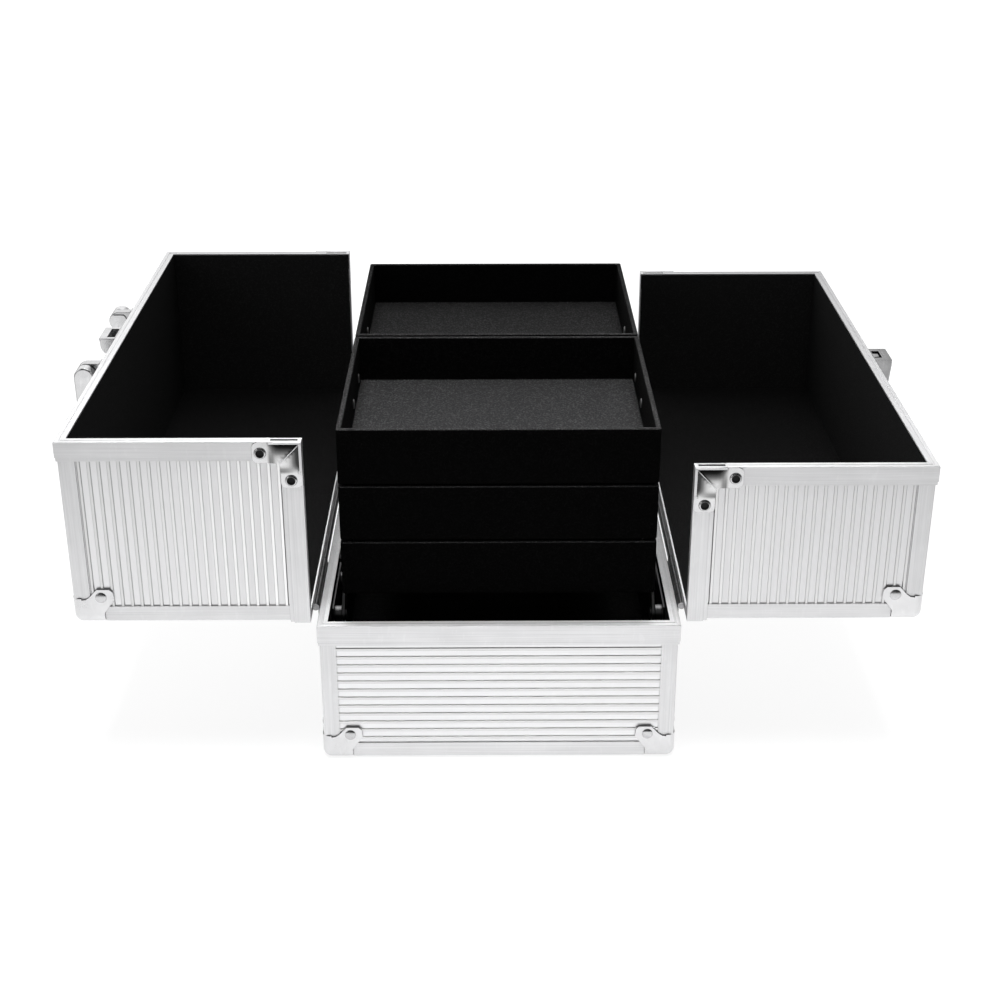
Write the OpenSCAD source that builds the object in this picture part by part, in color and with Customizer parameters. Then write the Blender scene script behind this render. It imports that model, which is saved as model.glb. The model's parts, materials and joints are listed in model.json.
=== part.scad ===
// Aluminium train case with two lids that open like wings and two stacks of lift-out trays.
// It is drawn open, with the trays folded in. The origin is at the middle of the base, on the
// plane that the corner caps stand on. +X is the right lid, +Y is away from the front.

/* [Case] */
// Width across the base rim
case_w = 210; // [195:1:240]
// Length across the base rim
case_l = 360; // [350:1:420]
// Height of the base, from the caps to the rim
base_h = 90.5; // [88:0.5:110]
// Height that the closed lids add above the base
wing_rise = 135.4; // [132:0.2:160]
// How far the lid seam lies to the right of the middle
seam_shift = 8; // [0:0.5:12]
// Gap between rims that close on each other
rim_gap = 0.4; // [0.2:0.1:0.8]

/* [Shell] */
// Thickness of the boards
board_t = 3.5; // [2.5:0.1:4]
// Thickness of the felt lining
felt_t = 0.6; // [0.4:0.1:1]
// Wall of the edge angles
angle_t = 0.8; // [0.6:0.1:1]
// Width of the edge angles
angle_w = 9.5; // [8:0.5:11]
// Outer corner radius of the edge angles
angle_r = 1; // [0.5:0.1:1.2]
// Pitch of the ridges on the panels
ridge_pitch = 5.5; // [4.5:0.1:7]
// Width of a ridge at its foot
ridge_w = 2.2; // [1.6:0.1:2.6]
// Width of a ridge at its crest
ridge_top = 1.3; // [0.8:0.1:1.5]
// Height of a ridge
ridge_h = 0.6; // [0.3:0.1:0.7]

/* [Rims] */
// Wall of the rim's outer leg
rim_leg_t = 1; // [0.8:0.1:1.2]
// Thickness of the rim's top web
rim_web_t = 0.9; // [0.8:0.1:1.2]
// Depth of the base rim's leg
base_rim_d = 13; // [11:0.5:15]
// Depth of the lid rims' legs
wing_rim_d = 11.5; // [10:0.5:13]
// Depth of the thinner lip at the foot of a leg
rim_lip_d = 2.2; // [1.5:0.1:3]
// How far the lip steps back
rim_lip_step = 0.4; // [0.2:0.1:0.5]
// Width of the groove along a rim's top
rim_groove_w = 1; // [0.6:0.1:1.4]
// Depth of the groove along a rim's top
rim_groove_d = 0.2; // [0.15:0.05:0.4]
// Bevel along a rim's outer edge
rim_bevel = 0.25; // [0.2:0.05:0.6]
// Joint left open at the end of a rim bar
rim_joint = 0.05; // [0.03:0.01:0.1]

/* [Corner caps] */
// Wall of a corner cap
cap_t = 1; // [0.8:0.1:1.2]
// Outer radius of a corner cap
cap_r = 5; // [4:0.5:6]
// Reach of a cap along its edges
cap_reach = 18; // [17:0.5:20]
// Height of a cap at the corner edge
cap_edge_h = 15.4; // [14:0.2:17]
// Reach of the riveted tab
cap_tab = 24.3; // [23:0.1:26]
// How far a cap's foot edge slants back, and up to which height
cap_waist = 0.7; // [0:0.1:1]
cap_waist_h = 6.8; // [5:0.1:8]
// How far the tab's neck stands past the reach, and at which height
cap_neck = 2; // [1:0.1:3]
cap_neck_h = 10; // [9:0.1:11]
// Corner cut off a cap's foot
cap_foot_cut = 8; // [6:0.1:9]
// Place of the tab's rivet from both outer planes
cap_rivet_at = 16.8; // [16:0.1:18]

/* [Corner brackets] */
// Length of a bracket's legs
bracket_leg = 27; // [24:0.5:30]
// Width of a bracket's legs
bracket_w = 12; // [11:0.5:13]
// Thickness of the bracket plate
bracket_t = 0.8; // [0.6:0.1:1]
// Thickness of the flanges let into the rims
flange_t = 0.5; // [0.3:0.1:0.6]
// Length of the flanges let into the rims
flange_l = 18; // [14:0.5:20]
// Distance of a bracket screw from the corner, along its leg
bracket_screw_at = 22.6; // [20:0.1:23]

/* [Fasteners] */
// Radius of a rivet's head
rivet_head_r = 3.2; // [2.6:0.1:3.6]
// Height of a rivet's head
rivet_head_h = 1.1; // [0.8:0.1:1.4]
// Radius of a rivet's shank
rivet_r = 1.3; // [1:0.1:1.6]
// Radius of a bracket screw's head
screw_head_r = 3.4; // [3:0.1:3.8]
// Length of shank inside the board
shank_l = 2.5; // [1.5:0.1:2.5]
// Clearance round shanks and pins
fit_gap = 0.05; // [0.03:0.01:0.08]

/* [Lid hinges] */
// Outer radius of a knuckle
knuckle_r = 2.2; // [2:0.1:2.4]
// Radius of the hinge pin
hinge_pin_r = 1; // [0.8:0.1:1.2]
// Thickness of a hinge leaf
leaf_t = 1; // [0.8:0.1:1.2]
// Width of a hinge leaf from the axis
leaf_w = 11; // [9:0.5:12]
// Length of a hinge
hinge_l = 60; // [50:1:80]
// Distance of a hinge from the end of the case
hinge_inset = 23; // [20:1:40]
// Distance of the hinge axis outside the base rim
hinge_out = 2.6; // [2.5:0.1:3]
// Distance of a leaf's rivets from the axis
leaf_rivet_at = 7; // [6:0.1:7.5]
// Distance between a leaf's rivets
leaf_rivet_step = 22; // [12:1:24]
// Radius of a leaf rivet's head
leaf_head_r = 2.2; // [1.8:0.1:2.4]

/* [Trays] */
// Room beside a tray, to the lining, where the arms run
tray_room = 7.75; // [7:0.05:14]
// Length of a tray, along the case
tray_l = 155.8; // [140:0.2:158]
// Height of a tray
tray_h = 33.6; // [30:0.1:34]
// Wall of a tray
tray_wall = 3; // [2.5:0.1:4]
// Floor of a tray
tray_floor = 4.5; // [3:0.1:5]
// Corner radius of a tray
tray_r = 1.5; // [1:0.1:2.5]
// Gap between a tray and the next one above it
tray_gap = 1.6; // [1.2:0.1:4]
// Gap between the two stacks when folded in
stack_gap = 3; // [2:0.5:6]
// Height of the lowest tray's underside above the base rim
tray_lift = 9; // [7:0.5:14]

/* [Tray arms] */
// Thickness of an arm
arm_t = 1.5; // [1:0.1:2]
// Width of an arm
arm_w = 11; // [9:0.5:12]
// How far each arm leans towards the middle, a tray higher
arm_lean = 32; // [28:1:34]
// Distance between neighbouring pins on a tray
pin_step = 22; // [21:0.5:23]
// Height of the pins above a tray's underside
pin_up = 13; // [11:0.5:16]
// Distance of the first base pin from the front of the tray stack
pin_first = 16.3; // [14:0.1:20]
// Radius of the arm pins
pin_r = 1.5; // [1.2:0.1:1.8]
// Radius of the arm pins' heads
pin_head_r = 3; // [2.6:0.1:3.4]
// Thickness of the arm pins' heads
pin_head_t = 0.8; // [0.6:0.1:1]
// Gap between a tray's side and its arms
arm_gap = 0.4; // [0.3:0.1:0.6]

/* [Handle] */
// Distance of the handle's pivot outside the lid
handle_out = 9.8; // [9:0.1:10.5]
// Distance of the pivot below the lid's rim
handle_down = 8; // [7.5:0.5:12]
// Radius of the bosses and the arm heads
handle_r = 6.2; // [5.5:0.1:6.7]
// Length over both handle arms
handle_l = 122; // [110:1:150]
// Thickness of a handle arm
handle_arm_t = 8; // [6:0.5:10]
// Length of a bracket's boss
boss_l = 7; // [5:0.5:12]
// Drop from the pivot to the middle of the grip
handle_drop = 40; // [36:1:44]
// Height of the grip's section
grip_h = 16; // [14:0.5:20]
// Depth of the grip's section
grip_d = 11; // [9:0.5:12]
// Radius of the handle pins
handle_pin_r = 2; // [1.5:0.1:2.4]

/* [Latch] */
// Width of the keeper
keeper_w = 22; // [20:0.5:28]
// Height of the keeper
keeper_h = 16; // [14:0.5:20]
// Depth of the keeper
keeper_d = 10.4; // [8:0.1:11.5]
// Width of the latch body
latch_w = 21; // [18:0.5:24]
// Height of the latch body
latch_h = 34; // [30:0.5:38]
// Depth of the latch body at its top
latch_d = 11; // [9:0.1:12]
// Depth of the latch body at its foot
latch_foot_d = 3; // [2:0.1:4]
// Width of the window in the latch body
latch_window_w = 8; // [7.8:0.1:12]
// Travel of the hooked slider
latch_travel = 7; // [5:0.5:8]

/* [Hidden] */
$fn = 48;
BASE_NODES = [
    "base_floor_panel", "base_side_panels", "base_end_panels", "base_lining",
    "base_edge_angles", "base_rim", "base_corner_caps", "base_rivets",
    "base_hinge_leaves", "hinge_pins", "tray_rails", "rail_pins"];
LEFT_NODES = [
    "left_floor_panel", "left_outer_panel", "left_end_panels", "left_lining",
    "left_edge_angles", "left_rims", "left_corner_caps", "left_corner_brackets",
    "left_fasteners", "left_hinge_leaves", "latch_keeper",
    "handle_brackets", "handle_pins", "handle_arms", "handle_grip"];
RIGHT_NODES = [
    "right_floor_panel", "right_outer_panel", "right_end_panels", "right_lining",
    "right_edge_angles", "right_rims", "right_corner_caps", "right_corner_brackets",
    "right_fasteners", "right_hinge_leaves", "latch_body", "latch_slider"];
TRAY_NODES = [
    "front_tray_low", "front_tray_middle", "front_tray_top",
    "front_pins_low", "front_pins_middle", "front_pins_top",
    "front_lower_arm_a", "front_lower_arm_b", "front_upper_arm_a", "front_upper_arm_b",
    "rear_tray_low", "rear_tray_middle", "rear_tray_top",
    "rear_pins_low", "rear_pins_middle", "rear_pins_top",
    "rear_lower_arm_a", "rear_lower_arm_b", "rear_upper_arm_a", "rear_upper_arm_b"];

// Depths below the outermost plane, the same on every wall
angle_in = rim_leg_t;
board_out = angle_in + angle_t;
board_in = board_out + board_t;
lining_in = board_in + felt_t;
angle_end = angle_in + angle_w;
half_w = case_w / 2;
half_l = case_l / 2;

// Lids: local x runs outwards from the hinge side, z up from the floor's outer plane
wing_x = half_w + hinge_out + rim_gap;
wing_z = base_h + hinge_out;
left_h = half_w + seam_shift - rim_gap / 2;
right_h = half_w - seam_shift - rim_gap / 2;
cap_clear = angle_end + 0.5;

// Trays and their arms, for the stack at the front
tray_w = case_w - 2 * (lining_in + tray_room);
tray_pitch = tray_h + tray_gap;
tray_front = -stack_gap / 2 - tray_l;
tray_z = base_h + tray_lift;
pin_z = tray_z + pin_up - tray_pitch;
lower_pin_y = tray_front + pin_first;
upper_pin_y = lower_pin_y + arm_lean - pin_step;
arm_x = tray_w / 2 + arm_gap;
arm_out_x = arm_x + arm_t;
pin_play = 0.1;
rail_t = 1.2;
rail_boss_r = 5;
rail_h = 16;

aluminium = [0.86, 0.87, 0.88];
ribbed = [0.9, 0.905, 0.91];
chrome = [0.78, 0.79, 0.8];
steel = [0.62, 0.63, 0.65];
felt = [0.03, 0.03, 0.032];
grip_black = [0.05, 0.05, 0.05];

// Maps local axes onto given directions at an origin
module at_axes(o, ax, ay, az) {
    multmatrix([
        [ax[0], ay[0], az[0], o[0]],
        [ax[1], ay[1], az[1], o[1]],
        [ax[2], ay[2], az[2], o[2]],
        [0, 0, 0, 1]]) children();
}

module both_ends() {
    children();
    mirror([0, 1, 0]) children();
}

module both_sides() {
    children();
    mirror([1, 0, 0]) children();
}

module at_left() {
    mirror([1, 0, 0]) at_right() children();
}

module at_right() {
    translate([wing_x, 0, wing_z]) children();
}

// Box between two corners
module block(a, b) {
    translate(a) cube(b - a);
}

// Rectangle with round corners, from one corner
module round_rect(w, l, r) {
    translate([r, 0]) square([w - 2 * r, l]);
    translate([0, r]) square([w, l - 2 * r]);
    for (x = [r, w - r], y = [r, l - r]) translate([x, y]) circle(r);
}

// Ridges that run along x on the plane z = 0, centred across the span
module ridges(run, span) {
    count = floor((span - ridge_w) / ridge_pitch) + 1;
    sink = 0.1;
    for (i = [0 : count - 1])
        translate([0, (i - (count - 1) / 2) * ridge_pitch, 0])
            rotate([90, 0, 90])
                linear_extrude(run, center = true)
                    polygon([
                        [-ridge_w / 2, -sink], [ridge_w / 2, -sink], [ridge_w / 2, 0],
                        [ridge_top / 2, ridge_h], [-ridge_top / 2, ridge_h], [-ridge_w / 2, 0]]);
}

// Angle section with a solid core, its outer planes on the two axes
module angle_section() {
    round_at = angle_in + angle_r;
    difference() {
        polygon([
            [angle_in, angle_in], [angle_end, angle_in], [angle_end, board_out],
            [board_in, board_out], [board_in, board_in], [board_out, board_in],
            [board_out, angle_end], [angle_in, angle_end]]);
        difference() {
            square(round_at);
            translate([round_at, round_at]) circle(angle_r);
        }
    }
}

// Edge angle along z, from one height to another
module edge_angle(from, to) {
    translate([0, 0, from]) linear_extrude(to - from) angle_section();
}

// Rim bar along x: y runs inwards from the outer face, z = 0 is the closing plane
module rim_bar(length, depth, mitre_start, mitre_end) {
    groove = (lining_in - rim_groove_w) / 2;
    intersection() {
        rotate([90, 0, 90]) linear_extrude(length)
            polygon([
                [0, -rim_bevel], [rim_bevel, 0], [groove, 0], [groove, -rim_groove_d],
                [groove + rim_groove_w, -rim_groove_d], [groove + rim_groove_w, 0],
                [lining_in, 0], [lining_in, -rim_web_t], [rim_leg_t, -rim_web_t],
                [rim_leg_t, -depth], [rim_lip_step, -depth],
                [rim_lip_step, -depth + rim_lip_d], [0, -depth + rim_lip_d]]);
        translate([0, 0, -depth]) linear_extrude(depth)
            polygon([
                [rim_joint, 0], [length - rim_joint, 0],
                [length - rim_joint - mitre_end * lining_in, lining_in],
                [rim_joint + mitre_start * lining_in, lining_in]]);
    }
}

// Octant block with its three outer edges and its corner rounded
module round_octant(inset, size, r) {
    translate([inset, inset, inset]) {
        translate([r, r, 0]) cube([size, size, size + r]);
        translate([r, 0, r]) cube([size, size + r, size]);
        translate([0, r, r]) cube([size + r, size, size]);
        translate([r, r, r]) {
            sphere(r);
            cylinder(r = r, h = size);
            rotate([0, 90, 0]) cylinder(r = r, h = size);
            rotate([-90, 0, 0]) cylinder(r = r, h = size);
        }
    }
}

// Outline of a cap on one wall, with its riveted tab
module cap_outline() {
    tab_low = cap_rivet_at - 2;
    polygon([
        [0, 0], [cap_reach, 0], [cap_reach - cap_waist, cap_waist_h],
        [cap_reach + cap_neck, cap_neck_h],
        [cap_tab, tab_low], [cap_tab - 0.6, tab_low + 5.3], [cap_tab - 2.3, tab_low + 7],
        [tab_low, tab_low + 7], [cap_edge_h / 2, cap_edge_h], [0, cap_edge_h]]);
}

// Cap on a corner at the origin, on the planes x = 0, y = 0 and z = 0
module corner_cap() {
    foot = cap_reach - cap_foot_cut;
    difference() {
        intersection() {
            round_octant(0, cap_tab + cap_r, cap_r);
            union() {
                rotate([90, 0, 0]) mirror([0, 0, 1]) linear_extrude(cap_r) cap_outline();
                rotate([90, 0, 90]) linear_extrude(cap_r) cap_outline();
                linear_extrude(cap_r)
                    polygon([
                        [0, 0], [cap_reach, 0], [cap_reach, foot], [foot, cap_reach],
                        [0, cap_reach]]);
            }
        }
        round_octant(cap_t, 2 * cap_reach, cap_r - cap_t);
        at_cap_rivets() translate([0, 0, -1]) cylinder(r = rivet_r + fit_gap, h = 4);
    }
}

// What an edge angle gives up under a cap, whose hollow has a rounder corner
module cap_room() {
    difference() {
        cube([cap_reach + 0.2, cap_reach + 0.2, cap_edge_h + 0.2]);
        round_octant(cap_t, 2 * cap_reach, cap_r - cap_t);
    }
}

// Places its children on a cap's two rivets, z into the wall
module at_cap_rivets() {
    at_axes([cap_rivet_at, 0, cap_rivet_at], [1, 0, 0], [0, 0, -1], [0, 1, 0]) children();
    at_axes([0, cap_rivet_at, cap_rivet_at], [0, 1, 0], [0, 0, 1], [1, 0, 0]) children();
}

// Domed head on z = 0, reaching down to a shank of a given length
module rivet(head_r, head_h, shank) {
    dome_r = (head_r * head_r + head_h * head_h) / (2 * head_h);
    mirror([0, 0, 1]) intersection() {
        translate([0, 0, head_h - dome_r]) sphere(dome_r);
        cylinder(r = head_r, h = head_h);
    }
    cylinder(r = rivet_r, h = shank);
}

// Cap rivet: through the cap and into the board
module cap_rivet() {
    rivet(rivet_head_r, rivet_head_h, board_out + shank_l);
}

// Hole for a shank in a board
module shank_hole() {
    cylinder(r = rivet_r + fit_gap, h = board_out + shank_l + fit_gap);
}

// Base

module base_corner(x, y) {
    at_axes([x * half_w, y * half_l, 0], [-x, 0, 0], [0, -y, 0], [0, 0, 1]) children();
}

module base_corners() {
    for (x = [-1, 1], y = [-1, 1]) base_corner(x, y) children();
}

module base_floor_panel() {
    color(felt) block(
        [-half_w + board_in, -half_l + board_in, board_out],
        [half_w - board_in, half_l - board_in, board_in]);
}

// Height of the middle and span of the window between the base's foot angle and its rim
base_window = base_h - base_rim_d - angle_end;
base_window_z = angle_end + base_window / 2;

module base_side_panels() {
    color(ribbed) difference() {
        both_sides() {
            block(
                [half_w - board_in, -half_l + board_in, board_in],
                [half_w - board_out, half_l - board_in, base_h - rim_web_t]);
            at_axes([half_w - board_out, 0, base_window_z], [0, 1, 0], [0, 0, 1], [1, 0, 0])
                ridges(case_l - 2 * angle_end, base_window);
        }
        base_corners() at_cap_rivets() shank_hole();
        both_sides() at_base_leaf_rivets() leaf_hole();
    }
}

module base_end_panels() {
    color(ribbed) difference() {
        both_ends() {
            block(
                [-half_w + board_in, -half_l + board_out, board_in],
                [half_w - board_in, -half_l + board_in, base_h - rim_web_t]);
            at_axes([0, -half_l + board_out, base_window_z], [1, 0, 0], [0, 0, 1], [0, -1, 0])
                ridges(case_w - 2 * angle_end, base_window);
        }
        base_corners() at_cap_rivets() shank_hole();
    }
}

module base_lining() {
    color(felt) difference() {
        block(
            [-half_w + board_in, -half_l + board_in, board_in],
            [half_w - board_in, half_l - board_in, base_h - rim_web_t]);
        block(
            [-half_w + lining_in, -half_l + lining_in, lining_in],
            [half_w - lining_in, half_l - lining_in, base_h]);
    }
}

module base_edge_angles() {
    color(aluminium) difference() {
        union() {
            base_corners() edge_angle(cap_clear, base_h - rim_web_t);
            both_ends() at_axes([0, -half_l, 0], [0, 1, 0], [0, 0, 1], [1, 0, 0])
                edge_angle(-half_w + cap_clear, half_w - cap_clear);
            both_sides() at_axes([half_w, 0, 0], [-1, 0, 0], [0, 0, 1], [0, 1, 0])
                edge_angle(-half_l + cap_clear, half_l - cap_clear);
        }
        base_corners() cap_room();
    }
}

module base_rim() {
    color(aluminium) difference() {
        union() {
            both_ends() translate([-half_w, -half_l, base_h]) rim_bar(case_w, base_rim_d, 1, 1);
            both_sides() at_axes([half_w, -half_l, base_h], [0, 1, 0], [-1, 0, 0], [0, 0, 1])
                rim_bar(case_l, base_rim_d, 1, 1);
        }
        both_sides() at_base_leaf_rivets() leaf_hole();
    }
}

module base_corner_caps() {
    color(aluminium) base_corners() corner_cap();
}

module base_rivets() {
    color(steel) {
        base_corners() at_cap_rivets() cap_rivet();
        both_sides() at_base_leaf_rivets() leaf_rivet();
    }
}

// Hinges: local x runs outwards and z up from the axis, the pin runs along y

knuckles = 5;
knuckle_gap = 0.3;
knuckle_l = hinge_l / knuckles;
leaf_start = 2;
hinge_y = half_l - hinge_inset - hinge_l / 2;

module at_hinges() {
    for (y = [-hinge_y, hinge_y]) translate([half_w + hinge_out, y, base_h]) children();
}

// Knuckles from the first one, every second one, with their tabs onto a leaf below the axis
module knuckle_row(first) {
    for (i = [first : 2 : knuckles - 1])
        translate([0, -hinge_l / 2 + i * knuckle_l + knuckle_gap / 2, 0]) {
            rotate([-90, 0, 0]) difference() {
                cylinder(r = knuckle_r, h = knuckle_l - knuckle_gap);
                translate([0, 0, -1]) cylinder(r = hinge_pin_r + fit_gap, h = knuckle_l + 2);
            }
            block(
                [-hinge_out, 0, -leaf_start - 0.5],
                [-hinge_out + leaf_t, knuckle_l - knuckle_gap, -hinge_pin_r]);
        }
}

// Leaf that hangs below the axis, against the plane hinge_out inwards
module hinge_leaf(first) {
    knuckle_row(first);
    block([-hinge_out, -hinge_l / 2, -leaf_w], [-hinge_out + leaf_t, hinge_l / 2, -leaf_start]);
}

// Places its children on a leaf's rivets, z from its outer face inwards
module at_leaf_rivets() {
    for (y = [-leaf_rivet_step, 0, leaf_rivet_step])
        at_axes([-hinge_out + leaf_t, y, -leaf_rivet_at], [0, 1, 0], [0, 0, 1], [-1, 0, 0])
            children();
}

module at_base_leaf_rivets() {
    at_hinges() at_leaf_rivets() children();
}

module leaf_rivet() {
    rivet(leaf_head_r, 0.8, leaf_t + board_out + shank_l);
}

module leaf_hole() {
    cylinder(r = rivet_r + fit_gap, h = leaf_t + board_out + shank_l + fit_gap);
}

module base_hinge_leaves() {
    color(steel) both_sides() difference() {
        at_hinges() hinge_leaf(0);
        at_base_leaf_rivets() leaf_hole();
    }
}

// The lid's leaf is the same leaf turned over to lie under the lid's floor
module at_lid_leaf() {
    at_hinges() at_axes([0, 0, 0], [0, 0, -1], [0, 1, 0], [-1, 0, 0]) children();
}

module at_lid_leaf_rivets() {
    at_lid_leaf() at_leaf_rivets() children();
}

module wing_hinge_leaves() {
    difference() {
        at_lid_leaf() hinge_leaf(1);
        at_lid_leaf_rivets() leaf_hole();
    }
}

// Lid leaf rivets in the lid's own frame
module wing_leaf_rivets() {
    translate([-wing_x, 0, -wing_z]) at_lid_leaf_rivets() children();
}

module hinge_pins() {
    color(steel) both_sides() at_hinges()
        rotate([90, 0, 0]) cylinder(r = hinge_pin_r, h = hinge_l, center = true);
}

// Lids

module wing_corner(y) {
    at_axes([wing_rise, y * half_l, 0], [-1, 0, 0], [0, -y, 0], [0, 0, 1]) children();
}

module wing_cap_places() {
    for (y = [-1, 1]) wing_corner(y) children();
}

module wing_floor_panel() {
    window = wing_rise - angle_end - wing_rim_d;
    difference() {
        union() {
            block(
                [rim_web_t, -half_l + board_in, board_out],
                [wing_rise - board_in, half_l - board_in, board_in]);
            at_axes([wing_rim_d + window / 2, 0, board_out], [0, 1, 0], [1, 0, 0], [0, 0, -1])
                ridges(case_l - 2 * angle_end, window);
        }
        wing_leaf_rivets() leaf_hole();
    }
}

module wing_outer_panel(h) {
    window = h - angle_end - wing_rim_d;
    difference() {
        union() {
            block(
                [wing_rise - board_in, -half_l + board_in, board_in],
                [wing_rise - board_out, half_l - board_in, h - rim_web_t]);
            at_axes([wing_rise - board_out, 0, angle_end + window / 2],
                    [0, 1, 0], [0, 0, 1], [1, 0, 0])
                ridges(case_l - 2 * angle_end, window);
        }
        wing_cap_places() at_cap_rivets() shank_hole();
    }
}

module wing_end_panels(h) {
    window = wing_rise - angle_end - wing_rim_d;
    run = h - angle_end - wing_rim_d;
    difference() {
        both_ends() {
            block(
                [rim_web_t, -half_l + board_out, board_in],
                [wing_rise - board_in, -half_l + board_in, h - rim_web_t]);
            at_axes([wing_rim_d + window / 2, -half_l + board_out, angle_end + run / 2],
                    [0, 0, 1], [1, 0, 0], [0, -1, 0])
                ridges(run, window);
        }
        wing_cap_places() at_cap_rivets() shank_hole();
        at_bracket_screws(h) shank_hole();
    }
}

module wing_lining(h) {
    difference() {
        block(
            [rim_web_t, -half_l + board_in, board_in],
            [wing_rise - board_in, half_l - board_in, h - rim_web_t]);
        block(
            [0, -half_l + lining_in, lining_in],
            [wing_rise - lining_in, half_l - lining_in, h]);
    }
}

module wing_edge_angles(h) {
    difference() {
        union() {
            both_ends() {
                translate([wing_rise, -half_l, 0]) mirror([1, 0, 0])
                    edge_angle(cap_clear, h - rim_web_t);
                at_axes([0, -half_l, 0], [0, 1, 0], [0, 0, 1], [1, 0, 0])
                    edge_angle(rim_web_t, wing_rise - cap_clear);
            }
            at_axes([wing_rise, 0, 0], [-1, 0, 0], [0, 0, 1], [0, 1, 0])
                edge_angle(-half_l + cap_clear, half_l - cap_clear);
        }
        wing_cap_places() cap_room();
    }
}

module wing_rims(h) {
    difference() {
        union() {
            both_ends() {
                translate([0, -half_l, h]) rim_bar(wing_rise, wing_rim_d, 0, 1);
                at_axes([0, -half_l, 0], [0, 0, 1], [0, 1, 0], [-1, 0, 0])
                    rim_bar(h - wing_rim_d, wing_rim_d, 1, 0);
            }
            at_axes([wing_rise, -half_l, h], [0, 1, 0], [-1, 0, 0], [0, 0, 1])
                rim_bar(case_l, wing_rim_d, 1, 1);
            at_axes([0, -half_l, 0], [0, 1, 0], [0, 0, 1], [-1, 0, 0])
                rim_bar(case_l, wing_rim_d, 1, 1);
        }
        both_ends() bracket_flanges(h);
        at_bracket_screws(h) shank_hole();
        wing_leaf_rivets() leaf_hole();
    }
}

module wing_corner_caps() {
    wing_cap_places() corner_cap();
}

// Bracket on the free corner by the hinge side: a plate and two flanges let into the rims
module bracket_flanges(h) {
    block([0, -half_l, h - flange_t], [flange_l, -half_l + lining_in, h]);
    block([0, -half_l, h - flange_l], [flange_t, -half_l + lining_in, h]);
}

module bracket_outline() {
    end_r = 3;
    union() {
        round_rect(bracket_leg, bracket_w, end_r);
        round_rect(bracket_w, bracket_leg, end_r);
        square(bracket_w);
    }
}

module wing_corner_brackets(h) {
    both_ends() difference() {
        union() {
            at_axes([0, -half_l, h], [1, 0, 0], [0, 0, -1], [0, -1, 0])
                linear_extrude(bracket_t) bracket_outline();
            bracket_flanges(h);
        }
        front_bracket_screws(h) shank_hole();
    }
}

// Places its children on a bracket's screws, z into the wall from the plate's outer face
module front_bracket_screws(h) {
    across = bracket_w / 2 + 0.3;
    for (p = [[bracket_screw_at, across], [across, bracket_screw_at]])
        at_axes([p[0], -half_l - bracket_t, h - p[1]], [1, 0, 0], [0, 0, -1], [0, 1, 0])
            children();
}

module at_bracket_screws(h) {
    both_ends() front_bracket_screws(h) children();
}

module wing_fasteners(h) {
    wing_cap_places() at_cap_rivets() cap_rivet();
    at_bracket_screws(h) rivet(screw_head_r, rivet_head_h + 0.4, board_out + shank_l);
    wing_leaf_rivets() leaf_rivet();
}

module left_floor_panel() { color(ribbed) at_left() wing_floor_panel(); }
module left_outer_panel() { color(ribbed) at_left() wing_outer_panel(left_h); }
module left_end_panels() { color(ribbed) at_left() wing_end_panels(left_h); }
module left_lining() { color(felt) at_left() wing_lining(left_h); }
module left_edge_angles() { color(aluminium) at_left() wing_edge_angles(left_h); }
module left_rims() { color(aluminium) at_left() wing_rims(left_h); }
module left_corner_caps() { color(aluminium) at_left() wing_corner_caps(); }
module left_corner_brackets() { color(chrome) at_left() wing_corner_brackets(left_h); }
module left_fasteners() { color(steel) at_left() wing_fasteners(left_h); }
module left_hinge_leaves() { color(steel) mirror([1, 0, 0]) wing_hinge_leaves(); }

module right_floor_panel() { color(ribbed) at_right() wing_floor_panel(); }
module right_outer_panel() { color(ribbed) at_right() wing_outer_panel(right_h); }
module right_end_panels() { color(ribbed) at_right() wing_end_panels(right_h); }
module right_lining() { color(felt) at_right() wing_lining(right_h); }
module right_edge_angles() { color(aluminium) at_right() wing_edge_angles(right_h); }
module right_rims() { color(aluminium) at_right() wing_rims(right_h); }
module right_corner_caps() { color(aluminium) at_right() wing_corner_caps(); }
module right_corner_brackets() { color(chrome) at_right() wing_corner_brackets(right_h); }
module right_fasteners() { color(steel) at_right() wing_fasteners(right_h); }
module right_hinge_leaves() { color(steel) wing_hinge_leaves(); }

// Handle, on the left lid's outer wall: local z is the pivot axis, x outwards, y up the wall

handle_half = handle_l / 2;
boss_end = handle_half - handle_arm_t - 0.3;

module at_handle() {
    at_left() at_axes([wing_rise + handle_out, 0, left_h - handle_down],
                      [1, 0, 0], [0, 0, 1], [0, -1, 0]) children();
}

module both_handle_ends() {
    children();
    mirror([0, 0, 1]) children();
}

module handle_brackets() {
    plate_t = 1.5;
    plate_up = 7;
    plate_down = 12;
    color(chrome) at_handle() both_handle_ends() translate([0, 0, boss_end - boss_l])
        difference() {
            linear_extrude(boss_l) {
                circle(handle_r);
                translate([-handle_out, -handle_r]) square([handle_out, 2 * handle_r]);
                translate([-handle_out, -plate_down]) square([plate_t, plate_up + plate_down]);
            }
            translate([0, 0, -1]) cylinder(r = handle_pin_r + fit_gap, h = boss_l + 2);
        }
}

module handle_pins() {
    color(steel) at_handle() both_handle_ends()
        translate([0, 0, boss_end - boss_l]) cylinder(
            r = handle_pin_r, h = boss_l + handle_arm_t + 0.3);
}

module handle_arms() {
    arm_end = handle_drop + grip_h / 2;
    depth = grip_d + 0.4;
    color(chrome) at_handle() both_handle_ends() translate([0, 0, handle_half - handle_arm_t])
        difference() {
            linear_extrude(handle_arm_t) {
                circle(handle_r);
                translate([-depth / 2, -arm_end + depth / 2]) square([depth, arm_end - depth / 2]);
                translate([0, -arm_end + depth / 2]) circle(depth / 2);
            }
            translate([0, 0, -1]) cylinder(r = handle_pin_r + fit_gap, h = handle_arm_t + 2);
        }
}

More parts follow.
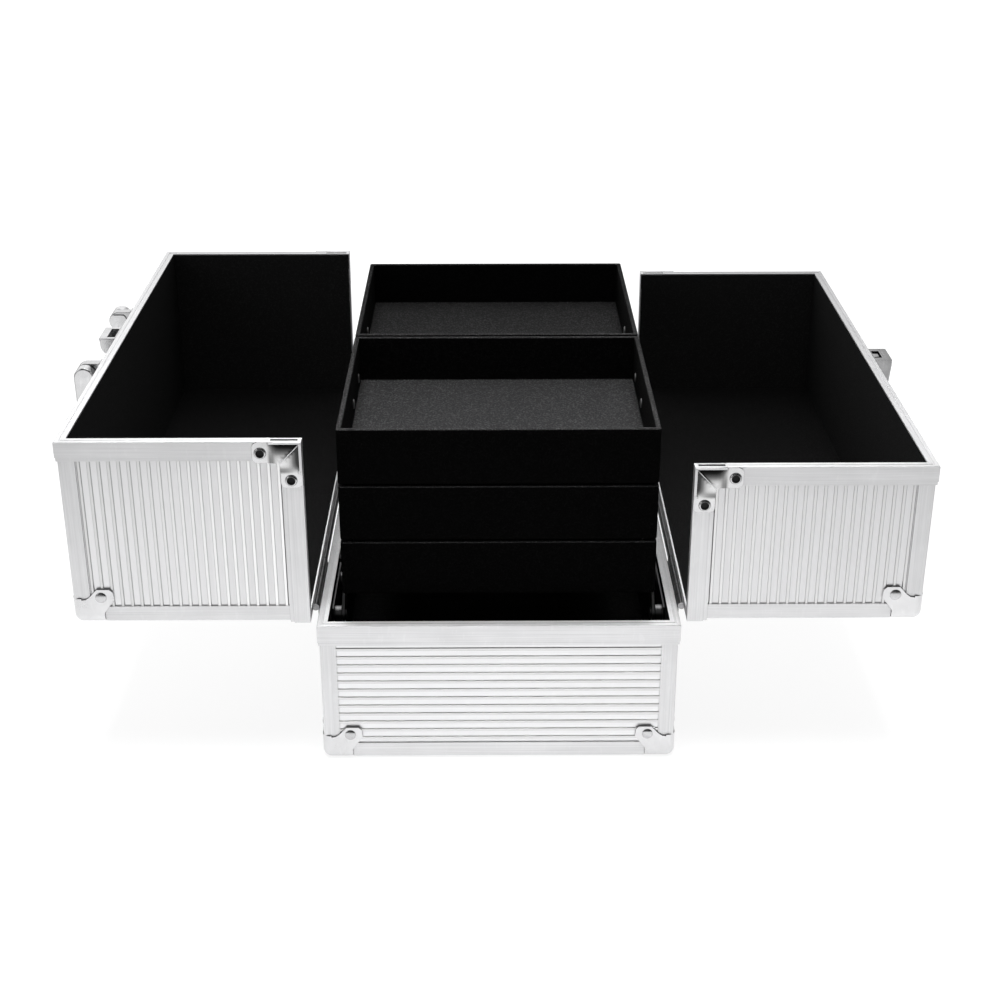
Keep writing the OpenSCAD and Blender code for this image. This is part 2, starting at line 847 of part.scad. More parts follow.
module handle_grip() {
    color(grip_black) at_handle()
        translate([-grip_d / 2, -handle_drop - grip_h / 2 + 0.2, -handle_half + handle_arm_t])
            linear_extrude(2 * (handle_half - handle_arm_t)) round_rect(grip_d, grip_h - 0.4, 4);
}

// Latch: local z runs along the case, x outwards from the lid's outer plane, y up to the rim

slot_in = 0.6;
slot_out = 5.6;
slot_w = 16;
slot_d = 12;
blade_play = 0.2;
blade_w = 12;
blade_out = slot_in + 2;
latch_top = 0.1;
bolt_w = 12;

module at_latch_left() {
    at_left() at_axes([wing_rise, 0, left_h], [1, 0, 0], [0, 0, 1], [0, -1, 0]) children();
}

module at_latch_right() {
    at_right() at_axes([wing_rise, 0, right_h], [1, 0, 0], [0, 0, 1], [0, -1, 0]) children();
}

module latch_keeper() {
    lip = 1.5;
    steps = 10;
    color(chrome) at_latch_left() difference() {
        linear_extrude(keeper_w, center = true)
            polygon(concat(
                [[0, -latch_top], [keeper_d, -latch_top]],
                [for (i = [0 : steps]) let (a = 90 * i / steps)
                    [keeper_d * cos(a), -lip - (keeper_h - lip) * sin(a)]]));
        translate([slot_in, -slot_d, -slot_w / 2]) cube([slot_out - slot_in, slot_d + 1, slot_w]);
    }
}

module latch_body() {
    window_low = 27;
    window_h = latch_travel + 6;
    color(chrome) at_latch_right() difference() {
        linear_extrude(latch_w, center = true)
            polygon([
                [0, -latch_top], [latch_d, -latch_top], [latch_d, -2],
                [latch_foot_d, -latch_h], [0, -latch_h]]);
        translate([slot_in, -latch_h + 4, -bolt_w / 2 - blade_play])
            cube([slot_out - slot_in, latch_h, bolt_w + 2 * blade_play]);
        translate([slot_in, -window_low, -latch_window_w / 2])
            cube([latch_d, window_h, latch_window_w]);
    }
}

module latch_slider() {
    low = slot_in + blade_play;
    tab_low = 26.6;
    color(steel) at_latch_right() {
        translate([low, -tab_low, -bolt_w / 2])
            cube([blade_out - low, tab_low - 0.6, bolt_w]);
        translate([low, -3, -bolt_w / 2]) cube([slot_out - blade_play - low, 2.4, bolt_w]);
        translate([low, -tab_low, -latch_window_w / 2 + blade_play])
            cube([latch_d - 2 - low, 5, latch_window_w - 2 * blade_play]);
    }
}

// Trays and arms: written for the front stack, mirrored for the rear one

module tray(level) {
    color(felt) difference() {
        translate([-tray_w / 2, tray_front, tray_z + level * tray_pitch])
            difference() {
                linear_extrude(tray_h) round_rect(tray_w, tray_l, tray_r);
                block(
                    [tray_wall, tray_wall, tray_floor],
                    [tray_w - tray_wall, tray_l - tray_wall, tray_h + 1]);
            }
        both_sides() at_tray_pins(level) translate([0, 0, -tray_wall - arm_gap - 1])
            cylinder(r = pin_r + fit_gap, h = tray_wall + arm_gap + 2);
    }
}

// Pins that a tray carries: the lower arms' pins and the upper arms' pins
function lower_pins(level) = [for (k = [0, 1]) lower_pin_y + arm_lean * (level + 1) + 2 * k * pin_step];
function upper_pins(level) = [for (k = [0, 1]) upper_pin_y + arm_lean * level + 2 * k * pin_step];
function tray_pins(level) =
    level == 0 ? concat(lower_pins(0), upper_pins(0)) :
    level == 1 ? concat(lower_pins(1), upper_pins(1)) : upper_pins(2);

// Places its children on pins of the right side, z outwards from the arms' inner face
module at_pin(y, z) {
    at_axes([arm_x, y, z], [0, 1, 0], [0, 0, 1], [1, 0, 0]) children();
}

module at_tray_pins(level) {
    for (y = tray_pins(level)) at_pin(y, pin_z + (level + 1) * tray_pitch) children();
}

module tray_pin_set(level) {
    color(steel) both_sides() at_tray_pins(level) {
        translate([0, 0, -arm_gap - tray_wall - pin_head_t]) cylinder(r = pin_head_r, h = pin_head_t);
        translate([0, 0, -arm_gap - tray_wall])
            cylinder(r = pin_r, h = arm_gap + tray_wall + arm_t + pin_play);
        translate([0, 0, -arm_gap]) cylinder(r = pin_r + 1, h = arm_gap - pin_play);
        translate([0, 0, arm_t + pin_play]) cylinder(r = pin_head_r, h = pin_head_t);
    }
}

// Arm over three levels, from its first pin
module arm(y, z) {
    reach = sqrt(arm_lean * arm_lean + tray_pitch * tray_pitch);
    color(chrome) both_sides() at_pin(y, z) rotate([0, 0, atan2(tray_pitch, arm_lean)])
        linear_extrude(arm_t) difference() {
            union() {
                translate([0, -arm_w / 2]) square([2 * reach, arm_w]);
                for (i = [0, 2]) translate([i * reach, 0]) circle(arm_w / 2);
            }
            for (i = [0 : 2]) translate([i * reach, 0]) circle(pin_r + fit_gap);
        }
}

// Rails on the base's side walls that carry the first pins of both stacks
module tray_rails() {
    plate_x = half_w - lining_in;
    from = lower_pin_y - rail_h / 2;
    to = lower_pin_y + 2 * pin_step + rail_h / 2;
    color(steel) both_ends() both_sides() difference() {
        union() {
            block(
                [plate_x - rail_t, from, pin_z - rail_h / 2],
                [plate_x, to, pin_z + rail_h / 2]);
            for (y = lower_pins(-1)) at_pin(y, pin_z) translate([0, 0, arm_t + arm_gap])
                cylinder(r = rail_boss_r, h = plate_x - arm_out_x - arm_gap);
        }
        for (y = lower_pins(-1)) at_pin(y, pin_z) cylinder(
            r = pin_r + fit_gap, h = plate_x - arm_x - fit_gap);
    }
}

module rail_pins() {
    plate_x = half_w - lining_in;
    color(steel) both_ends() both_sides() for (y = lower_pins(-1)) at_pin(y, pin_z) {
        translate([0, 0, -pin_play - pin_head_t]) cylinder(r = pin_head_r, h = pin_head_t);
        translate([0, 0, -pin_play]) cylinder(
            r = pin_r, h = plate_x - arm_x + pin_play - 2 * fit_gap);
    }
}

module lower_arm(k) {
    arm(lower_pins(-1)[k], pin_z);
}

module upper_arm(k) {
    arm(upper_pins(0)[k], pin_z + tray_pitch);
}

module rear() {
    mirror([0, 1, 0]) children();
}

base_floor_panel();
base_side_panels();
base_end_panels();
base_lining();
base_edge_angles();
base_rim();
base_corner_caps();
base_rivets();
base_hinge_leaves();
hinge_pins();
tray_rails();
rail_pins();
left_floor_panel();
left_outer_panel();
left_end_panels();
left_lining();
left_edge_angles();
left_rims();
left_corner_caps();
left_corner_brackets();
left_fasteners();
left_hinge_leaves();
latch_keeper();
handle_brackets();
handle_pins();
handle_arms();
handle_grip();
right_floor_panel();
right_outer_panel();
right_end_panels();
right_lining();
right_edge_angles();
right_rims();
right_corner_caps();
right_corner_brackets();
right_fasteners();
right_hinge_leaves();
latch_body();
latch_slider();
tray(0);  // front_tray_low
tray(1);  // front_tray_middle
tray(2);  // front_tray_top
tray_pin_set(0);  // front_pins_low
tray_pin_set(1);  // front_pins_middle
tray_pin_set(2);  // front_pins_top
lower_arm(0);  // front_lower_arm_a
lower_arm(1);  // front_lower_arm_b
upper_arm(0);  // front_upper_arm_a
upper_arm(1);  // front_upper_arm_b
rear() tray(0);  // rear_tray_low
rear() tray(1);  // rear_tray_middle
rear() tray(2);  // rear_tray_top
rear() tray_pin_set(0);  // rear_pins_low
rear() tray_pin_set(1);  // rear_pins_middle
rear() tray_pin_set(2);  // rear_pins_top
rear() lower_arm(0);  // rear_lower_arm_a
rear() lower_arm(1);  // rear_lower_arm_b
rear() upper_arm(0);  // rear_upper_arm_a
rear() upper_arm(1);  // rear_upper_arm_b
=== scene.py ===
# Aluminium train case, standing open on a pale studio floor
import json
from math import atan2, cos, pi, radians, sin

import bmesh
import bpy
from mathutils import Matrix, Vector

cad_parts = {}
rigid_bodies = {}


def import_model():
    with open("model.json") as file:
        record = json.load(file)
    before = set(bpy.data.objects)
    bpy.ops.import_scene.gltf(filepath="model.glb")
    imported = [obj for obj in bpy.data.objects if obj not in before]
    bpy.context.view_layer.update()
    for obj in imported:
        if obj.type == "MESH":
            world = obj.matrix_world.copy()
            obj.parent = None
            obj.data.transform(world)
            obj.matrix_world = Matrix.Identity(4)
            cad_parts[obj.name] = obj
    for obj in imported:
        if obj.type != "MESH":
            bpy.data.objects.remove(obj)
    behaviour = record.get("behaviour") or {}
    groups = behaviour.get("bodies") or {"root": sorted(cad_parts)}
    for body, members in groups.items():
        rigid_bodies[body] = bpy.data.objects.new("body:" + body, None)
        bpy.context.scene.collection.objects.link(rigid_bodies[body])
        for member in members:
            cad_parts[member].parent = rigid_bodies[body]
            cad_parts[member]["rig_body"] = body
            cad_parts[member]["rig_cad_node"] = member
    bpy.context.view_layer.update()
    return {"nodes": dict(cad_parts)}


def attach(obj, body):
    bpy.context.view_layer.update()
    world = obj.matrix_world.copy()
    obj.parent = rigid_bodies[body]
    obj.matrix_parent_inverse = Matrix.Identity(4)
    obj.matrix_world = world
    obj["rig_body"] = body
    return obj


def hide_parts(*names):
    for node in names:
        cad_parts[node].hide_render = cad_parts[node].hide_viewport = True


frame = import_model()
print("frame loaded:", len(frame["nodes"]), "nodes")


# Modelling helpers. Pieces are made in millimetres and brought to metres when they are seated.

def choose(*pieces):
    if bpy.context.mode != "OBJECT":
        bpy.ops.object.mode_set(mode="OBJECT")
    bpy.ops.object.select_all(action="DESELECT")
    for piece in pieces:
        piece.select_set(True)
    bpy.context.view_layer.objects.active = pieces[0]
    return pieces[0]


def openMesh(piece):
    choose(piece)
    bpy.ops.object.mode_set(mode="EDIT")


def closeMesh():
    bpy.ops.object.mode_set(mode="OBJECT")


def mark(piece, kind, test):
    # selects the vertices, edges or faces that pass the test
    bpy.ops.mesh.select_mode(type=kind)
    bpy.ops.mesh.select_all(action="DESELECT")
    shape = bmesh.from_edit_mesh(piece.data)
    shape.normal_update()
    for item in {"VERT": shape.verts, "EDGE": shape.edges, "FACE": shape.faces}[kind]:
        item.select_set(test(item))
    bmesh.update_edit_mesh(piece.data)


def middle(item):
    return sum((corner.co for corner in item.verts), Vector()) / len(item.verts)


def along(edge, axis):
    span = edge.verts[1].co - edge.verts[0].co
    return abs(span[axis]) > 0.99 * span.length


def addBlock(name, low, high):
    centre = [(a + b) / 2 for a, b in zip(low, high)]
    size = [b - a for a, b in zip(low, high)]
    bpy.ops.mesh.primitive_cube_add(size=1, location=centre, scale=size)
    piece = bpy.context.object
    piece.name = name
    bpy.ops.object.transform_apply(location=True, rotation=True, scale=True)
    return piece


def addTurned(name, rings, sides):
    # a disc that is extruded and resized from ring to ring, up the z axis
    radius, height = rings[0]
    bpy.ops.mesh.primitive_circle_add(
        vertices=sides, radius=radius, fill_type="NGON", location=(0, 0, height))
    piece = bpy.context.object
    piece.name = name
    bpy.ops.object.transform_apply(location=True, rotation=True, scale=True)
    openMesh(piece)
    bpy.ops.mesh.select_all(action="SELECT")
    for nextRadius, nextHeight in rings[1:]:
        bpy.ops.mesh.extrude_region_move(
            TRANSFORM_OT_translate={"value": (0, 0, nextHeight - height)})
        grow = nextRadius / radius
        bpy.ops.transform.resize(value=(grow, grow, 1), center_override=(0, 0, nextHeight))
        radius, height = nextRadius, nextHeight
    bpy.ops.mesh.select_all(action="SELECT")
    bpy.ops.mesh.normals_make_consistent(inside=False)
    closeMesh()
    return piece


def addPlate(name, outline, thickness):
    # a flat outline in x and y, made solid from z = 0 up
    curve = bpy.data.curves.new(name, "CURVE")
    curve.dimensions = "2D"
    curve.fill_mode = "BOTH"
    curve.extrude = thickness / 2
    line = curve.splines.new("POLY")
    line.points.add(len(outline) - 1)
    for point, place in zip(line.points, outline):
        point.co = (place[0], place[1], 0, 1)
    line.use_cyclic_u = True
    piece = bpy.data.objects.new(name, curve)
    bpy.context.collection.objects.link(piece)
    choose(piece)
    bpy.ops.object.convert(target="MESH")
    piece = bpy.context.object
    piece.location = (0, 0, thickness / 2)
    bpy.ops.object.transform_apply(location=True, rotation=True, scale=True)
    openMesh(piece)
    bpy.ops.mesh.select_all(action="SELECT")
    bpy.ops.mesh.remove_doubles(threshold=0.001)
    bpy.ops.mesh.dissolve_limited(angle_limit=radians(0.5))
    bpy.ops.mesh.normals_make_consistent(inside=False)
    closeMesh()
    return piece


def arc(centre, radius, start, stop, steps=8):
    # points on a round corner, angles in degrees
    turns = [radians(start + (stop - start) * i / steps) for i in range(steps + 1)]
    return [(centre[0] + radius * cos(t), centre[1] + radius * sin(t)) for t in turns]


def roundedBox(left, low, right, high, radius):
    return (arc((right - radius, low + radius), radius, -90, 0)
            + arc((right - radius, high - radius), radius, 0, 90)
            + arc((left + radius, high - radius), radius, 90, 180)
            + arc((left + radius, low + radius), radius, 180, 270))


def modify(piece, kind, **settings):
    choose(piece)
    modifier = piece.modifiers.new(kind.title(), kind)
    for name, value in settings.items():
        setattr(modifier, name, value)
    bpy.ops.object.modifier_apply(modifier=modifier.name)
    return piece


def soften(piece, width, segments=2, angle=35):
    return modify(piece, "BEVEL", width=width, segments=segments, limit_method="ANGLE",
                  angle_limit=radians(angle), use_clamp_overlap=True)


def combine(piece, other, operation):
    modify(piece, "BOOLEAN", operation=operation, object=other, solver="EXACT", use_self=True)
    bpy.data.objects.remove(other)
    return piece


def tidyFlats(piece):
    openMesh(piece)
    bpy.ops.mesh.select_all(action="SELECT")
    bpy.ops.mesh.remove_doubles(threshold=0.002)
    bpy.ops.mesh.dissolve_limited(angle_limit=radians(0.3))
    closeMesh()
    return piece


def place(piece, matrix):
    piece.data.transform(matrix)
    if matrix.determinant() < 0:
        piece.data.flip_normals()
    return piece


def copyOf(piece, matrix):
    twin = piece.copy()
    twin.data = piece.data.copy()
    bpy.context.collection.objects.link(twin)
    return place(twin, matrix)


def axesAt(origin, x, y, z):
    # matrix that lays local axes along the given directions
    return Matrix((
        (x[0], y[0], z[0], origin[0]),
        (x[1], y[1], z[1], origin[1]),
        (x[2], y[2], z[2], origin[2]),
        (0, 0, 0, 1)))


def gather(name, pieces):
    choose(*pieces)
    if len(pieces) > 1:
        bpy.ops.object.join()
    piece = bpy.context.object
    piece.name = name
    return piece


def seat(piece, body, material, slotName, nodes=(), smooth=35):
    # to metres, then onto its body, in the place of its CAD nodes
    place(piece, Matrix.Scale(0.001, 4))
    if material is not None:
        piece.data.materials.clear()
        piece.data.materials.append(material)
    choose(piece)
    bpy.ops.object.shade_smooth_by_angle(angle=radians(smooth))
    modify(piece, "WEIGHTED_NORMAL", keep_sharp=True)
    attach(piece, body)
    if nodes:
        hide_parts(*nodes)
    return piece


def softenedNode(name, node, body, material, slotName, width):
    # a welded copy of a CAD node with its sharp edges broken
    choose(frame["nodes"][node])
    bpy.ops.object.duplicate(linked=False)
    piece = bpy.context.object
    piece.name = name
    piece.parent = None
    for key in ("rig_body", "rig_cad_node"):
        del piece[key]
    place(piece, Matrix.Scale(1000, 4))
    soften(tidyFlats(piece), width)
    return seat(piece, body, material, slotName, [node])


# Shader maths: an expression on values adds its Math nodes

class Value:
    def __init__(self, recipe, socket):
        self.recipe = recipe
        self.socket = socket

    def maths(self, operation, *values):
        inputs = {index: value for index, value in enumerate(values)}
        return self.recipe.node("ShaderNodeMath", {"operation": operation}, inputs)

    def __add__(self, other):
        return self.maths("ADD", self, other)

    def __rsub__(self, other):
        return self.maths("SUBTRACT", other, self)

    def __mul__(self, other):
        return self.maths("MULTIPLY", self, other)

    def __pow__(self, other):
        return self.maths("POWER", self, other)

    __radd__ = __add__
    __rmul__ = __mul__

    def clamped(self):
        return self.recipe.node(
            "ShaderNodeMath", {"operation": "ADD", "use_clamp": True}, {0: self, 1: 0.0})


class Recipe:
    # the node tree of a material, or of the world
    def __init__(self, name, tree=None, **fixed):
        self.tree = tree
        if tree is None:
            self.material = bpy.data.materials.new(name)
            self.material.use_nodes = True
            self.tree = self.material.node_tree
            self.shader = self.tree.nodes["Principled BSDF"]
        for socket, value in fixed.items():
            self.shader.inputs[socket.replace("_", " ")].default_value = value

    def node(self, kind, settings=None, inputs=None, output=0):
        made = self.tree.nodes.new(kind)
        for name, value in (settings or {}).items():
            if name == "stops":
                while len(made.color_ramp.elements) < len(value):
                    made.color_ramp.elements.new(0.5)
                for element, (position, level) in zip(made.color_ramp.elements, value):
                    element.position = position
                    element.color = (level, level, level, 1)
            else:
                setattr(made, name, value)
        for name, value in (inputs or {}).items():
            self.feed(made.inputs[name], value)
        return Value(self, made.outputs[output]) if made.outputs else made

    def feed(self, socket, value):
        if isinstance(value, Value):
            self.tree.links.new(value.socket, socket)
        else:
            socket.default_value = value

    def place(self, scale=(1, 1, 1), turn=(0, 0, 0)):
        where = self.node("ShaderNodeTexCoord", output="Object")
        return self.node("ShaderNodeMapping", None, {
            "Vector": where, "Scale": scale, "Rotation": turn})

    def noise(self, scale, detail=2.0, roughness=0.5, stretch=(1, 1, 1), turn=(0, 0, 0)):
        return self.node("ShaderNodeTexNoise", None, {
            "Vector": self.place(stretch, turn), "Scale": scale, "Detail": detail,
            "Roughness": roughness})

    def ramp(self, value, *stops):
        return self.node("ShaderNodeValToRGB", {"stops": stops}, {"Fac": value})

    def blend(self, factor, first, second):
        first, second = ((*shade, 1) if isinstance(shade, tuple) else shade
                         for shade in (first, second))
        return self.node("ShaderNodeMix", {"data_type": "RGBA"},
                         {"Factor": factor, 6: first, 7: second}, output=2)

    def openness(self, reach):
        # 1 on open faces, less in seams and corners
        return self.node("ShaderNodeAmbientOcclusion", {"samples": 8}, {"Distance": reach},
                         output="AO")

    def split(self, vector):
        return [self.node("ShaderNodeSeparateXYZ", None, {0: vector}, output=axis)
                for axis in range(3)]

    def facing(self):
        # how far the surface faces along each axis of the piece
        return self.split(self.node("ShaderNodeTexCoord", output="Normal"))

    def bump(self, height, distance):
        normal = self.node("ShaderNodeBump", None, {
            "Height": height, "Distance": distance, "Strength": 1.0})
        self.feed(self.shader.inputs["Normal"], normal)

    def paint(self, **channels):
        for socket, value in channels.items():
            self.feed(self.shader.inputs[socket.replace("_", " ")], value)
        return self.material


def grey(level):
    return (level, level, level * 1.01)


def paintRidgeShading(recipe, metal, values):
    # painted light and shade on the ribbed panels: highlights on crests, shaded slopes and shade in
    # the gap
    x, y, z = recipe.facing()
    # the place on the case, in decimetres
    out, deep, up = recipe.split(recipe.place((10, 10, 10)))
    away = out * out * 0.1
    across = out * 0.2 + 0.5
    ends = deep * deep * 0.3
    # painted light: the far end of the left lid is paler
    metal = recipe.blend(recipe.ramp(across, *values["paler"]), metal, grey(values["pale"]))
    # upright ridges: painted highlights on the crests by the middle of the left lid, painted shade
    # on the inner slopes far out
    plain = recipe.ramp(across, *values["right"])
    shine = recipe.blend(plain, recipe.ramp(away, *values["crests"]),
                         recipe.ramp(away, *values["rightCrests"]))
    crest = recipe.ramp(ends, *values["crestAt"])
    metal = recipe.blend(crest, metal, shine)
    slope = recipe.ramp(x * x * y * y + y * y * z * z + z * z * x * x, *values["slope"])
    inner = recipe.ramp(out * x * 0.3 + 0.5, *values["inward"]) * recipe.ramp(
        across, *values["rightFlanks"])
    metal = recipe.blend(slope * inner, metal, recipe.ramp(away, *values["flanks"]))
    # level ridges: a painted shade line below each
    level = recipe.ramp(z * z, *values["slope"])
    metal = recipe.blend(slope * level, metal, recipe.ramp(z * 0.5 + 0.5, *values["shelf"]))
    # painted shade in the gap where the flats end a hair above the lids' lower angles
    foot = recipe.ramp(up * 0.5, *values["gapAt"]) * recipe.ramp(ends, *values["endPanel"])
    return recipe.blend(foot * (1 - crest), metal, grey(values["gap"]))


def paintDishReflections(recipe, metal, tones):
    # painted reflection: the plating is painted dark where it leans away from the axes
    x, y, z = recipe.facing()
    square = x * x * x * x + y * y * y * y + z * z * z * z
    return recipe.blend(recipe.ramp(square, (0.990, 0), (0.998, 1)),
                        recipe.ramp(square ** 0.25, *tones), metal)


def makeMetal(name, values, stretch=None):
    recipe = Recipe(name, Metallic=values["metallic"])
    cloud = recipe.noise(values["cloudScale"], 3.0, 0.6)
    grain = recipe.noise(values["grainScale"], 2.0, 0.5)
    # long hairline rubs that lie every way
    rub = recipe.noise(values["rubScale"], 1.0, 0.5, (1, 0.04, 0.3), (0.4, 0.3, 0.9))
    rubbed = recipe.ramp(rub, (0.62, 0), (0.70, 1))
    light = recipe.ramp(cloud, (0.35, 0), (0.65, 1)) * 0.75 + rubbed * 0.25
    height = grain + rubbed * 0.6
    if stretch:
        # draw lines along the bar or sheet
        lines = recipe.noise(values["lineScale"], 3.0, 0.65, stretch)
        light = light * 0.4 + recipe.ramp(lines, (0.30, 0), (0.70, 1)) * 0.6
        height = height + lines * values["lineHeight"]
    recipe.bump(height, values["bump"])
    metal = recipe.blend(light.clamped(), grey(values["dark"]), grey(values["bright"]))
    if "hollow" in values:
        # painted shade: darkened where the lids and trays close it in
        closedShade = recipe.ramp(recipe.openness(values["hollowShadeReach"]), *values["hollow"])
        metal = recipe.blend(closedShade, metal, grey(values["hollowShadeTone"]))
    if "ridges" in values:
        metal = paintRidgeShading(recipe, metal, values["ridges"])
    if "dishes" in values:
        metal = paintDishReflections(recipe, metal, values["dishes"])
    # painted shade: the colour darkens to the seam tone in creases and corners where shade falls
    seam = recipe.ramp(recipe.openness(values["seamShadeReach"]), (0.30, 0), (0.86, 1))
    low, high = values["roughness"]
    return recipe.paint(
        Base_Color=recipe.blend(seam, grey(values["seam"]), metal),
        Roughness=low + (high - low) * (cloud * 0.7 + grain * 0.3))


def makeFelt(name, values):
    recipe = Recipe(name, Specular_IOR_Level=values["shine"])
    nap = recipe.noise(values["napScale"], 3.0, 0.7)
    fleck = recipe.noise(values["fleckScale"], 1.0, 0.5)
    flecks = recipe.ramp(fleck, (0.53, 0), (0.62, 1))
    worn = recipe.noise(9.0, 3.0, 0.6)
    light = (nap * 0.5 + flecks * 0.5 * (0.6 + worn * 0.8)).clamped()
    # painted light: what faces up is painted lighter, as lit from above
    facingUp = recipe.ramp(recipe.facing()[2], (0.15, 0), (0.75, 1))
    felt = recipe.blend(light, grey(values["dark"]), grey(values["fleck"]))
    topLitFelt = recipe.blend(light, grey(values["lint"] * 0.12), grey(values["lint"]))
    recipe.bump(nap + flecks * 0.5, values["bump"])
    return recipe.paint(
        Base_Color=recipe.blend(facingUp, felt, topLitFelt),
        Roughness=0.88 + nap * 0.12)


metalValues = {
    "metallic": 1.0, "roughness": (0.14, 0.26), "cloudScale": 80.0, "grainScale": 1200.0,
    "rubScale": 600.0, "bump": 0.00002, "seam": 0.03, "seamShadeReach": 0.0016}
ridgeValues = {
    # painted highlight and shade tones by the distance from the middle, on the left and the right
    # lid
    "crests": ((0.09, 0.71), (0.12, 1.0), (0.28, 0.86), (0.42, 0.70)),
    "rightCrests": ((0.12, 0.80), (0.30, 0.71)),
    "flanks": ((0.09, 0.62), (0.12, 0.80), (0.58, 0.36)),
    "paler": ((0.02, 0.85), (0.24, 0)), "pale": 0.82, "shelf": ((0.30, 0.10), (0.70, 0.60)),
    "gap": 0.24,
    # where these tones lie
    "right": ((0.69, 0), (0.72, 1)), "rightFlanks": ((0.69, 1), (0.72, 0.5)),
    "crestAt": ((0.9530, 0), (0.9585, 1)), "endPanel": ((0.925, 0), (0.935, 1)),
    "slope": ((0.08, 0), (0.16, 1)), "inward": ((0.50, 1), (0.56, 0)),
    "gapAt": ((0.470, 0), (0.475, 1), (0.5214, 1), (0.522, 0))}
profileValues = dict(
    metalValues, dark=0.64, bright=0.83, metallic=0.78, roughness=(0.34, 0.48), cloudScale=22.0,
    grainScale=1800.0, rubScale=420.0, seam=0.42, seamShadeReach=0.0012, lineScale=900.0,
    lineHeight=1.2)
skinValues = dict(
    metalValues, dark=0.67, bright=0.75, metallic=0.78, roughness=(0.28, 0.38), cloudScale=14.0,
    grainScale=1500.0, rubScale=300.0, seam=0.55, seamShadeReach=0.0012, lineScale=500.0,
    lineHeight=1.0, ridges=ridgeValues)
drawnValues = {
    "profileMetal": profileValues,
    "rimMetal": dict(
        profileValues, bright=0.85, hollow=((0.45, 1), (0.72, 0)), hollowShadeReach=0.03,
        hollowShadeTone=0.22),
    "ribbedSkin": skinValues,
    # painted light: the base's panels are a lighter copy of the lids' skin, as they mirror the
    # bright floor close in front
    "baseSkin": dict(
        skinValues, dark=0.80, bright=0.88,
        ridges=dict(ridgeValues, shelf=((0.30, 0.20), (0.70, 0.72)))),
}
plainValues = {
    "profileMetal": profileValues,
    "pressedCap": dict(
        metalValues, dark=0.60, bright=0.70, roughness=(0.22, 0.36), cloudScale=60.0,
        grainScale=1500.0, rubScale=500.0, seam=0.05, seamShadeReach=0.0010),
    "brightPlate": dict(
        metalValues, dark=0.54, bright=0.62, roughness=(0.08, 0.18), grainScale=900.0,
        bump=0.00001, seamShadeReach=0.0012,
        dishes=((0.90, 0.01), (0.972, 0.04), (0.985, 0.16), (0.993, 0.38), (0.999, 0.58))),
    "handlePlate": dict(metalValues, dark=0.56, bright=0.70, roughness=(0.14, 0.28)),
    "latchPlate": dict(metalValues, dark=0.46, bright=0.60),
    "latchSideShade": dict(metalValues, dark=0.24, bright=0.36),
    "zincedSteel": dict(
        metalValues, dark=0.22, bright=0.38, roughness=(0.24, 0.42), cloudScale=90.0,
        bump=0.00003, seam=0.02, seamShadeReach=0.0020),
    "rivetMetal": dict(
        metalValues, dark=0.44, bright=0.58, cloudScale=120.0, grainScale=1500.0, seam=0.04,
        seamShadeReach=0.0009),
    # painted shade: a near-black metal put in slots and recesses
    "slotShade": dict(
        metalValues, dark=0.02, bright=0.04, roughness=(0.5, 0.7), cloudScale=60.0,
        grainScale=900.0, rubScale=400.0, seam=0.01, seamShadeReach=0.0012),
}
metals = {name: makeMetal(name, values) for name, values in plainValues.items()}
for name, values in drawnValues.items():
    for axis, letter in enumerate("XYZ"):
        stretch = [1.0, 1.0, 1.0]
        stretch[axis] = 0.012
        metals[name + letter] = makeMetal(name + letter, values, stretch)

liningFelt = makeFelt("liningFelt", {
    "dark": 0.010, "fleck": 0.022, "lint": 0.009, "napScale": 1900.0, "fleckScale": 1100.0,
    "bump": 0.00012, "shine": 0.05})
trayFelt = makeFelt("trayFelt", {
    "dark": 0.0008, "fleck": 0.005, "lint": 0.042, "napScale": 1900.0, "fleckScale": 1000.0,
    "bump": 0.00018, "shine": 0.04})


def makeBoard():
    recipe = Recipe("blackBoard", Specular_IOR_Level=0.3)
    fibre = recipe.noise(260.0, 4.0, 0.6, (1, 0.25, 1))
    scuff = recipe.ramp(recipe.noise(30.0, 4.0, 0.7), (0.55, 0), (0.75, 1))
    recipe.bump(fibre, 0.00008)
    return recipe.paint(
        Base_Color=recipe.blend((fibre * 0.5 + scuff * 0.4).clamped(), grey(0.012), grey(0.05)),
        Roughness=0.55 + fibre * 0.3)


def makeGrip():
    recipe = Recipe("gripPlastic", Specular_IOR_Level=0.4)
    pebble = recipe.node("ShaderNodeTexVoronoi", {"feature": "F1"}, {
        "Vector": recipe.place(), "Scale": 1400.0})
    cloud = recipe.noise(60.0, 3.0, 0.6)
    recipe.bump(pebble, 0.00006)
    return recipe.paint(
        Base_Color=recipe.blend(cloud, grey(0.012), grey(0.03)),
        Roughness=0.38 + cloud * 0.2)


blackBoard = makeBoard()
gripPlastic = makeGrip()
print("materials made")

# What the case measures, in millimetres. Frame boxes give the rest.
caseValues = {
    "width": 210.0, "length": 360.0, "baseHeight": 90.5, "rise": 135.4,
    "lidX": 108.0, "lidFloor": 93.1, "leftHeight": 112.8, "rightHeight": 96.8}
halfWidth = caseValues["width"] / 2
halfLength = caseValues["length"] / 2


def lidMatrix(side):
    # a lid's own axes: x outwards from the hinge side, z up from its floor
    return axesAt((side * caseValues["lidX"], 0, caseValues["lidFloor"]),
                  (side, 0, 0), (0, 1, 0), (0, 0, 1))


def baseCorners():
    for x in (-1, 1):
        for y in (-1, 1):
            yield axesAt((x * halfWidth, y * halfLength, 0), (-x, 0, 0), (0, -y, 0), (0, 0, 1))


def lidCorners(side):
    for y in (-1, 1):
        yield lidMatrix(side) @ axesAt(
            (caseValues["rise"], y * halfLength, 0), (-1, 0, 0), (0, -y, 0), (0, 0, 1))


